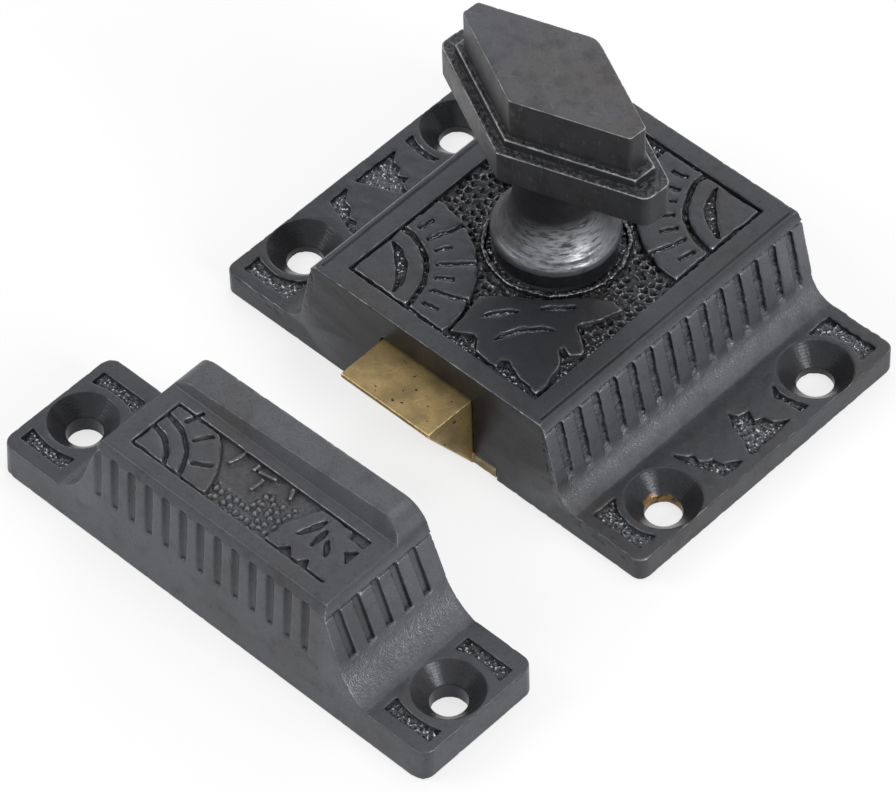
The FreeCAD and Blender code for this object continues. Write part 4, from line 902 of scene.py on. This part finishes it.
@dataclass
class LatchCase(Casting):
    """Case with fluted ends, carved panel and four countersunk ears."""

    hole: tuple[float, float] = (25.85, 11.85)
    ear_top: float = 3.1
    top: float = 13.9
    floor: float = 13.3
    panel: tuple[float, float] = (13.35, 17.5)
    margin: float = 0.1
    slope: tuple[float, float, float, float] = (18.3, 6.1, 16.8, 13.0)
    fan: tuple[float, float] = (12.95, 17.1)
    fan_rays: tuple[float, float] = (8.0, 12.7)
    slits: tuple[tuple[float, float, float, float, float], ...] = (
        (11.9, 4.3, 9.1, 7.9, 0.9), (8.4, 9.2, 5.1, 12.4, 0.9), (8.9, 2.2, 4.2, 8.5, 1.6),
    )

    def fan_slots(self, x: np.ndarray, y: np.ndarray) -> np.ndarray:
        """Mask of the short cuts that fan out from two corners.

        Args:
            x: places along the case.
            y: places across it.

        Returns:
            1 in the band that holds the cuts.
        """
        turn = np.where(x + y < 0, -1.0, 1.0)
        away = np.hypot(x - turn * self.fan[0], y - turn * self.fan[1])
        return inside(away, *self.fan_rays, 0.2) * (x * y > -60)

    def leaf_slits(self, x: np.ndarray, y: np.ndarray) -> np.ndarray:
        """Mask of the pointed slits in the two leaves.

        Args:
            x: places along the case.
            y: places across it.

        Returns:
            1 close to a slit.
        """
        here = np.stack([self.panel[0] - np.abs(x), self.panel[1] - np.abs(y)], axis=1)
        near = np.zeros(len(x))
        for x0, y0, x1, y1, reach in self.slits:
            start, run = np.array([x0, y0]), np.array([x1 - x0, y1 - y0])
            share = np.clip((here - start) @ run / (run @ run), 0, 1)
            away = np.linalg.norm(here - start - share[:, None] * run, axis=1)
            near = np.maximum(near, inside(away, NO_LOWER, reach, 0.2))
        return near * (x * y < 0)

    def masks(self, place: np.ndarray, normal: np.ndarray) -> Masks:
        """Rough hollows, pitted ground, pale cuts, the cones of the screw holes, and painted shade on
        the panel's ground, round the knob's foot, in the cones and on the front face.

        Args:
            place: points in millimetres.
            normal: their normals.

        Returns:
            One array for each named mask.
        """
        x, y, z = place.T
        wide, round_knob = np.abs(x), np.hypot(x, y)
        up = facing(normal[:, 2])
        ring = np.hypot(wide - self.hole[0], np.abs(y) - self.hole[1])
        cone = inside(ring, 2.05, 4.1, 0.15) * inside(z, 0.8, self.ear_top, 0.2)
        floor = inside(z, self.ear_top - 0.7, self.ear_top - 0.22, 0.1) * up
        sunk = floor * inside(wide, 21.0, 29.0, 0.2) * (1 - inside(ring, NO_LOWER, 4.3, 0.1))
        slope = inside(wide, 15.9, 21.0, 0.4) * inside(z, self.ear_top + 0.1, 13.2, 0.5)
        foot_x, foot_z, head_x, head_z = self.slope
        run = np.array([head_x - foot_x, head_z - foot_z])
        away = np.array([run[1], -run[0]]) / np.hypot(*run)
        deep = -((wide - foot_x) * away[0] + (z - foot_z) * away[1])
        flute = inside(deep, 0.12, 0.8, 0.15) * inside(z, 4.9, 12.8, 0.3)
        flute = flute * inside(wide, 15.9, 19.0, 0.2)
        cove = inside(z, self.ear_top - 0.2, 5.4, 1.2) * inside(wide, 18.0, 21.2, 0.6)
        half_x, half_y = (half - self.margin for half in self.panel)
        panel = inside(wide, NO_LOWER, half_x, 0.2) * inside(np.abs(y), NO_LOWER, half_y, 0.2)
        low = inside(z, self.floor - 0.25, self.floor + 0.3, 0.15) * up * panel
        low = low * inside(round_knob, 6.7, NO_UPPER, 0.2)
        cut = low * np.maximum(self.fan_slots(x, y), self.leaf_slits(x, y))
        low = low - cut
        pits = low * inside(round_knob, 8.2, 14.0, 1.0)
        lip = inside(round_knob, 7.1, 8.2, 0.3) * inside(z, self.floor - 0.2, 14.5, 0.2)
        leaf = panel * inside(z, self.top - 0.2, 14.5, 0.1) * (x * y < 0)
        leaf = leaf * inside(round_knob, 8.3, NO_UPPER, 0.3)
        front = facing(-normal[:, 1]) * inside(wide, NO_LOWER, 17.5, 1.0)
        front = front * inside(z, 1.0, 13.6, 1.0)
        raised = inside(z, 12.9, 14.5, 0.3) * panel
        ears = inside(wide, 21.3, 29.2, 0.4) * inside(z, 2.0, 3.3, 0.2)
        ears = ears * inside(ring, 4.6, NO_UPPER, 0.5)
        outer = np.maximum.reduce([raised, sunk, ears])
        rough_ground = low - pits * 0.55
        grain = [sunk, flute * 0.4, cove * 0.1, rough_ground, lip * 0.5, cut * 0.7]
        carved = raised * inside(round_knob, 8.3, NO_UPPER, 0.3)
        ends = inside(wide, 15.9, 18.6, 0.3) * inside(z, 5.0, 13.2, 0.4)
        bead = inside(wide, 15.40, 15.70, 0.14) * inside(z, self.top - 0.3, 14.5, 0.1)
        bead = bead * inside(np.abs(y), NO_LOWER, 19.2, 0.3)
        return {
            "pits": pits, "grain": np.maximum.reduce(grain), "cone": cone, "ring": ring,
            "pale": np.maximum.reduce([slope * 0.9, sunk * 0.45, cut]),
            # dark: painted shade on the panel's ground, round the knob's foot, in the cones and on the
            # front face, deeper towards +x; on the leaves a darker tone
            "dark": np.maximum.reduce([
                leaf * 0.3, cone * 0.4, low * 0.6, front * (0.8 + 0.005 * x), lip * 0.75,
            ]),
            "soft": np.maximum.reduce([carved * 0.5, sunk * 0.5, ends * 0.3]),
            "carve": bead * 0.13 - cut * 0.22,
            "wobble": np.maximum(outer * inside(round_knob, 7.0, NO_UPPER, 0.2), flute * 0.5),
        }


@dataclass
class Keeper(Casting):
    """Keeper with fluted front and ends, ridge, carved panel and two countersunk ears."""

    middle: tuple[float, float] = (0.8, -45.2)
    hole: float = 26.2
    ear_top: float = 4.0
    floor: float = 14.0
    panel: Triple = (13.65, -4.5, 2.5)
    margin: float = 0.1

    def masks(self, place: np.ndarray, normal: np.ndarray) -> Masks:
        """Rough strips and coves, berries on the panel's ground, cones of the screw holes, and painted
        shade in the cones and on the ears' sunk floors.

        Args:
            place: points in millimetres.
            normal: their normals.

        Returns:
            One array for each named mask.
        """
        x, y, z = place[:, 0] - self.middle[0], place[:, 1] - self.middle[1], place[:, 2]
        long = np.abs(x)
        up = facing(normal[:, 2])
        ring = np.hypot(long - self.hole, y)
        cone = inside(ring, 2.05, 3.9, 0.15) * inside(z, 0.8, self.ear_top, 0.2)
        sunk = inside(z, self.ear_top - 0.7, self.ear_top - 0.22, 0.1) * up
        sunk = sunk * (1 - inside(ring, NO_LOWER, 4.1, 0.1)) * inside(long, 22.5, 30.0, 0.2)
        cove = inside(z, self.ear_top - 0.2, 7.6, 1.0) * inside(long, 17.5, 22.4, 0.6)
        cove = cove * inside(np.abs(y), NO_LOWER, 8.0, 0.2)
        slope = inside(long, 15.7, 22.2, 0.4) * inside(z, self.ear_top + 0.1, 14.0, 0.4)
        wide, front, back = self.panel
        panel = inside(long, NO_LOWER, wide - self.margin, 0.2)
        panel = panel * inside(y, front + self.margin, back - self.margin, 0.2)
        low = inside(z, self.floor - 0.25, self.floor + 0.25, 0.15) * up * panel
        band = inside(x, -4.2, 5.2, 0.6) * inside(y, -4.4, -2.0, 0.4)
        patch = inside(x, 0.8, 5.2, 0.6) * inside(y, -2.2, 0.6, 0.5)
        face = facing(-normal[:, 1]) * inside(y, -9, -6.5, 0.3)
        ridge = inside(z, 14.8, 17, 0.4)
        grain = np.maximum.reduce([sunk, cove * 0.12, low * 0.25])
        carved = inside(z, 13.6, 15.0, 0.3) * panel
        return {
            "berries": low * np.maximum(band, patch), "grain": grain, "cone": cone, "ring": ring,
            "pale": np.maximum.reduce([slope * 0.7, face * 0.45, ridge * 0.4, sunk * 0.3]),
            # dark: painted shade in the cones and on the ears' sunk floors
            "dark": np.maximum(cone * 0.4, sunk * 0.3),
            "soft": np.maximum.reduce([carved * 0.9, face * 0.3, slope * 0.15, sunk * 0.5]),
            "wobble": np.maximum(carved * 0.8, sunk),
        }


@dataclass
class LatchKnob(Casting):
    """Knob with a stepped diamond head on a turned neck and foot."""

    ledge: tuple[float, float] = (32.9, 34.5)
    bead: tuple[float, float] = (15.6, 16.3)
    # wear_and_sheen: direction from the axis to the foot's side that gets a painted highlight
    wear_and_sheen: tuple[float, float] = (0.82, -0.57)

    def masks(self, place: np.ndarray, normal: np.ndarray) -> Masks:
        """Rough ledge between the head's tiers, painted shade on the head's sides, the neck, the
        collar and the ledge, and the side of the foot that gets a painted highlight.

        Args:
            place: points in millimetres.
            normal: their normals.

        Returns:
            One array for each named mask.
        """
        x, y, z = place.T
        up = facing(normal[:, 2])
        toward = (x * self.wear_and_sheen[0] + y * self.wear_and_sheen[1]) / np.maximum(np.hypot(x, y), 0.1)
        ledge = inside(z, *self.ledge, 0.2) * up
        head = inside(z, 27.5, 40, 0.3)
        neck = inside(z, 18.5, 27.7, 2.0)
        collar = inside(z, 0, self.bead[0] + 0.2, 0.2)
        # the head's sides, which get painted shade
        side = head * (1 - up)
        return {
            "grain": ledge * 0.6,
            # bright: painted highlight on the foot's front-right side
            "bright": inside(z, self.bead[1], 20.2, 2.0) * inside(toward, 0.66, 2, 0.5),
            # dark: painted shade on the head's sides, the neck, the collar and the ledge
            "dark": np.maximum.reduce([side * 0.8, neck * 0.8, collar, ledge * 0.6]),
        }


@dataclass
class LatchBolt(Casting):
    """Brass bolt with a bevelled nose."""


# Hidden works


@dataclass
class Works:
    """Cover, screws, cam and coil spring behind the case."""

    coil_radius: float = 2.0
    wire_radius: float = 0.3
    turns: float = 4.0
    axis_height: float = 4.6
    near: float = 8.75
    far: float = 17.5
    seat: float = 17.8
    travel: float = 5.96
    turn_steps: int = 36
    wire_sides: int = 10

    def coil_tree(self) -> bpy.types.NodeTree:
        """The geometry tree of the coil spring.

        Returns:
            A tree with named inputs for the coil's sizes.
        """
        tree = bpy.data.node_groups.new("coil_spring", "GeometryNodeTree")
        names = ("coil_radius", "wire_radius", "turns", "height")
        for name in names:
            tree.interface.new_socket(name, in_out="INPUT", socket_type="NodeSocketFloat")
        tree.interface.new_socket("finish", in_out="INPUT", socket_type="NodeSocketMaterial")
        tree.interface.new_socket("Geometry", in_out="OUTPUT", socket_type="NodeSocketGeometry")
        graph = Graph(tree)
        inputs = tree.nodes.new("NodeGroupInput").outputs
        spiral = graph.node("GeometryNodeCurveSpiral", None, {
            "Resolution": self.turn_steps, "Rotations": inputs["turns"], "Height": inputs["height"],
            "Start Radius": inputs["coil_radius"], "End Radius": inputs["coil_radius"],
        })
        round_wire = {"Resolution": self.wire_sides, "Radius": inputs["wire_radius"]}
        section = graph.node("GeometryNodeCurvePrimitiveCircle", None, round_wire)
        sweep = {"Curve": spiral, "Profile Curve": section, "Fill Caps": True}
        tube = graph.node("GeometryNodeCurveToMesh", None, sweep)
        whole = graph.node("GeometryNodeRealizeInstances", None, {"Geometry": tube})
        sockets = {"Geometry": whole, "Material": inputs["finish"]}
        dressed = graph.node("GeometryNodeSetMaterial", None, sockets)
        graph.node("NodeGroupOutput", None, {"Geometry": dressed})
        return tree

    def build_spring(self, finish: bpy.types.Material) -> bpy.types.Object:
        """Coil spring that closes up as the bolt is drawn.

        Args:
            finish: the spring's material.

        Returns:
            The finished piece.
        """
        piece = new_object("coil_spring", bpy.data.meshes.new("coil_spring"))
        coil = piece.modifiers.new("coil", "NODES")
        coil.node_group = self.coil_tree()
        sizes = {name: getattr(self, name) for name in ("coil_radius", "wire_radius", "turns")}
        set_inputs(coil, {**sizes, "height": self.far - self.near, "finish": finish})
        apply_modifiers(piece)
        laid = Matrix.Rotation(-math.pi / 2, 4, "X")
        lay = Matrix.Translation((0, self.near, self.axis_height)) @ laid
        piece.data.transform(Matrix.Scale(MM, 4) @ lay)
        piece.data.shade_smooth()
        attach(piece, Body.CASE.value)
        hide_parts("bolt_spring")
        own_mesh(piece)
        LOG.info("%s: %d faces", piece.name, len(piece.data.polygons))
        return piece

    def dress(self, nodes: dict[str, bpy.types.Object]) -> None:
        """Give the hidden nodes their steel.

        Args:
            nodes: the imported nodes.
        """
        finishes = {
            "back_cover": SteelFinish("cover_sheet"),
            "cover_screws": SteelFinish("screw_steel", face=(0.36, 0.36, 0.37)),
            "throw_cam": SteelFinish("cam_steel", face=(0.24, 0.24, 0.25)),
        }
        for name, finish in finishes.items():
            nodes[name].data.materials.clear()
            nodes[name].data.materials.append(finish.make())
            LOG.info("%s: steel", name)


# Studio


@dataclass(frozen=True)
class Studio:
    """Pale floor, soft lamps, white surroundings and the camera of the photograph."""

    focal: float = 6000.0
    width: float = 896.0
    azimuth: float = 45.163
    elevation: float = 49.516
    roll: float = -2.213
    distance: float = 630.9
    target: tuple[float, float] = (-1.965, -14.868)
    sensor: float = 36.0
    aim: Triple = (0.0, -0.015, 0.0)
    floor_reach: float = 3.0
    floor_level: float = -0.0002
    floor_white: float = 0.92
    floor_glow: float = 0.72
    sky_light: float = 0.40
    lamps: tuple[tuple[str, Triple, float, float], ...] = (
        ("left", (-0.55, -0.5, 0.6), 0.40, 2.8),
        ("top", (0.0, 0.25, 0.9), 0.55, 2.0),
        ("right", (0.8, -0.05, 0.42), 0.36, 5.0),
        ("back", (-0.45, 0.65, 0.45), 0.50, 1.6),
    )

    def camera(self) -> None:
        """Set the camera at the place that the photograph was taken from."""
        turn, rise, roll = (math.radians(value) for value in (self.azimuth, self.elevation, self.roll))
        level = math.cos(rise)
        back = Vector((math.sin(turn) * level, -math.cos(turn) * level, math.sin(rise)))
        right = Vector((math.cos(turn), math.sin(turn), 0.0))
        up = back.cross(right)
        side = right * math.cos(roll) + up * math.sin(roll)
        top = up * math.cos(roll) - right * math.sin(roll)
        eye = (Vector((*self.target, 0.0)) + back * self.distance) * MM
        data = bpy.data.cameras.new("camera")
        data.sensor_width = self.sensor
        data.lens = self.focal * data.sensor_width / self.width
        data.clip_start, data.clip_end = 0.01, 20.0
        made = bpy.data.objects.new("camera", data)
        turned = Matrix((side, top, back)).transposed().to_4x4()
        made.matrix_world = Matrix.Translation(eye) @ turned
        bpy.context.scene.collection.objects.link(made)
        bpy.context.scene.camera = made

    def lamp(self, name: str, place: Triple, size: float, power: float) -> None:
        """A square soft lamp that points at the latch.

        Args:
            name: the lamp's name.
            place: where it stands, in metres.
            size: side of the square, in metres.
            power: power in watts.
        """
        data = bpy.data.lights.new(name, "AREA")
        data.size = size
        data.energy = power
        made = bpy.data.objects.new(name, data)
        made.location = place
        sight = Vector(self.aim) - Vector(place)
        made.rotation_euler = sight.to_track_quat("-Z", "Y").to_euler()
        bpy.context.scene.collection.objects.link(made)

    def seen(self, graph: Graph) -> Wire:
        """Rays that show the background: from the camera, or by way of gloss or glass.

        Args:
            graph: the tree that asks.

        Returns:
            1 for such a ray, 0 for the others.
        """
        path = graph.node("ShaderNodeLightPath", out="Is Camera Ray").socket.node.outputs
        names = ("Is Camera Ray", "Is Glossy Ray", "Is Transmission Ray")
        camera, glossy, through = (Wire(graph, path[name]) for name in names)
        return graph.maths("MINIMUM", camera + glossy + through, 1.0)

    def floor(self) -> None:
        """Pale floor that keeps a faint shadow."""
        skin = Surface("pale_floor")
        pale = (self.floor_white, self.floor_white, self.floor_white, 1.0)
        matt = skin.node("ShaderNodeBsdfDiffuse", None, {"Color": pale})
        glow = skin.node("ShaderNodeEmission", None, {"Color": WHITE, "Strength": 1.0})
        share = self.seen(skin) * self.floor_glow
        both = skin.node("ShaderNodeMixShader", None, {0: share, 1: matt, 2: glow})
        skin.node("ShaderNodeOutputMaterial", None, {"Surface": both})
        mesh = bpy.data.meshes.new("floor")
        signs = ((-1, -1), (1, -1), (1, 1), (-1, 1))
        corners = [(x * self.floor_reach, y * self.floor_reach, self.floor_level) for x, y in signs]
        mesh.from_pydata(corners, [], [range(len(corners))])
        mesh.materials.append(skin.material)
        new_object("floor", mesh)

    def world(self) -> None:
        """White surroundings, dim as a lamp."""
        made = bpy.data.worlds.new("surroundings")
        made.use_nodes = True
        graph = Graph(made.node_tree)
        graph.tree.nodes.clear()
        strength = self.sky_light + self.seen(graph) * (1.0 - self.sky_light)
        sky = graph.node("ShaderNodeBackground", None, {"Color": WHITE, "Strength": strength})
        graph.node("ShaderNodeOutputWorld", None, {"Surface": sky})
        bpy.context.scene.world = made

    def build(self) -> None:
        """Set up the camera, the floor, the surroundings and the lamps."""
        bpy.context.scene.view_settings.view_transform = "Standard"
        self.camera()
        self.floor()
        self.world()
        for lamp in self.lamps:
            self.lamp(*lamp)
        LOG.info("studio: camera, floor, surroundings and %d lamps", len(self.lamps))


def main() -> None:
    """Build the latch's pieces in order, then the studio."""
    logging.basicConfig(level=logging.INFO, format="%(name)s %(message)s")
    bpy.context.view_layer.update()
    nodes = frame["nodes"]
    case_iron = IronFinish("case_iron")
    keeper_iron = IronFinish("keeper_iron", face=(0.066, 0.068, 0.076))
    berries = Weather(pit_spacing=0.86, pit_radius=0.38, pit_depth=0.30, seed=11.0)
    LatchCase("latch_case", Body.CASE, Slot.IRON).build(nodes["latch_case"], case_iron.make())
    Keeper("keeper", Body.CASE, Slot.IRON, weather=berries).build(nodes["keeper"], keeper_iron.make())
    knob_iron = KnobFinish()
    bolt_brass = BrassFinish()
    LatchKnob("latch_knob", Body.KNOB, Slot.GROUND).build(nodes["latch_knob"], knob_iron.make())
    bolt = LatchBolt("latch_bolt", Body.BOLT, Slot.BRASS, keep=0.1)
    bolt.build(nodes["latch_bolt"], bolt_brass.make())
    works = Works()
    works.build_spring(SteelFinish("spring_wire").make())
    works.dress(nodes)
    Studio().build()


if __name__ == "__main__":
    main()
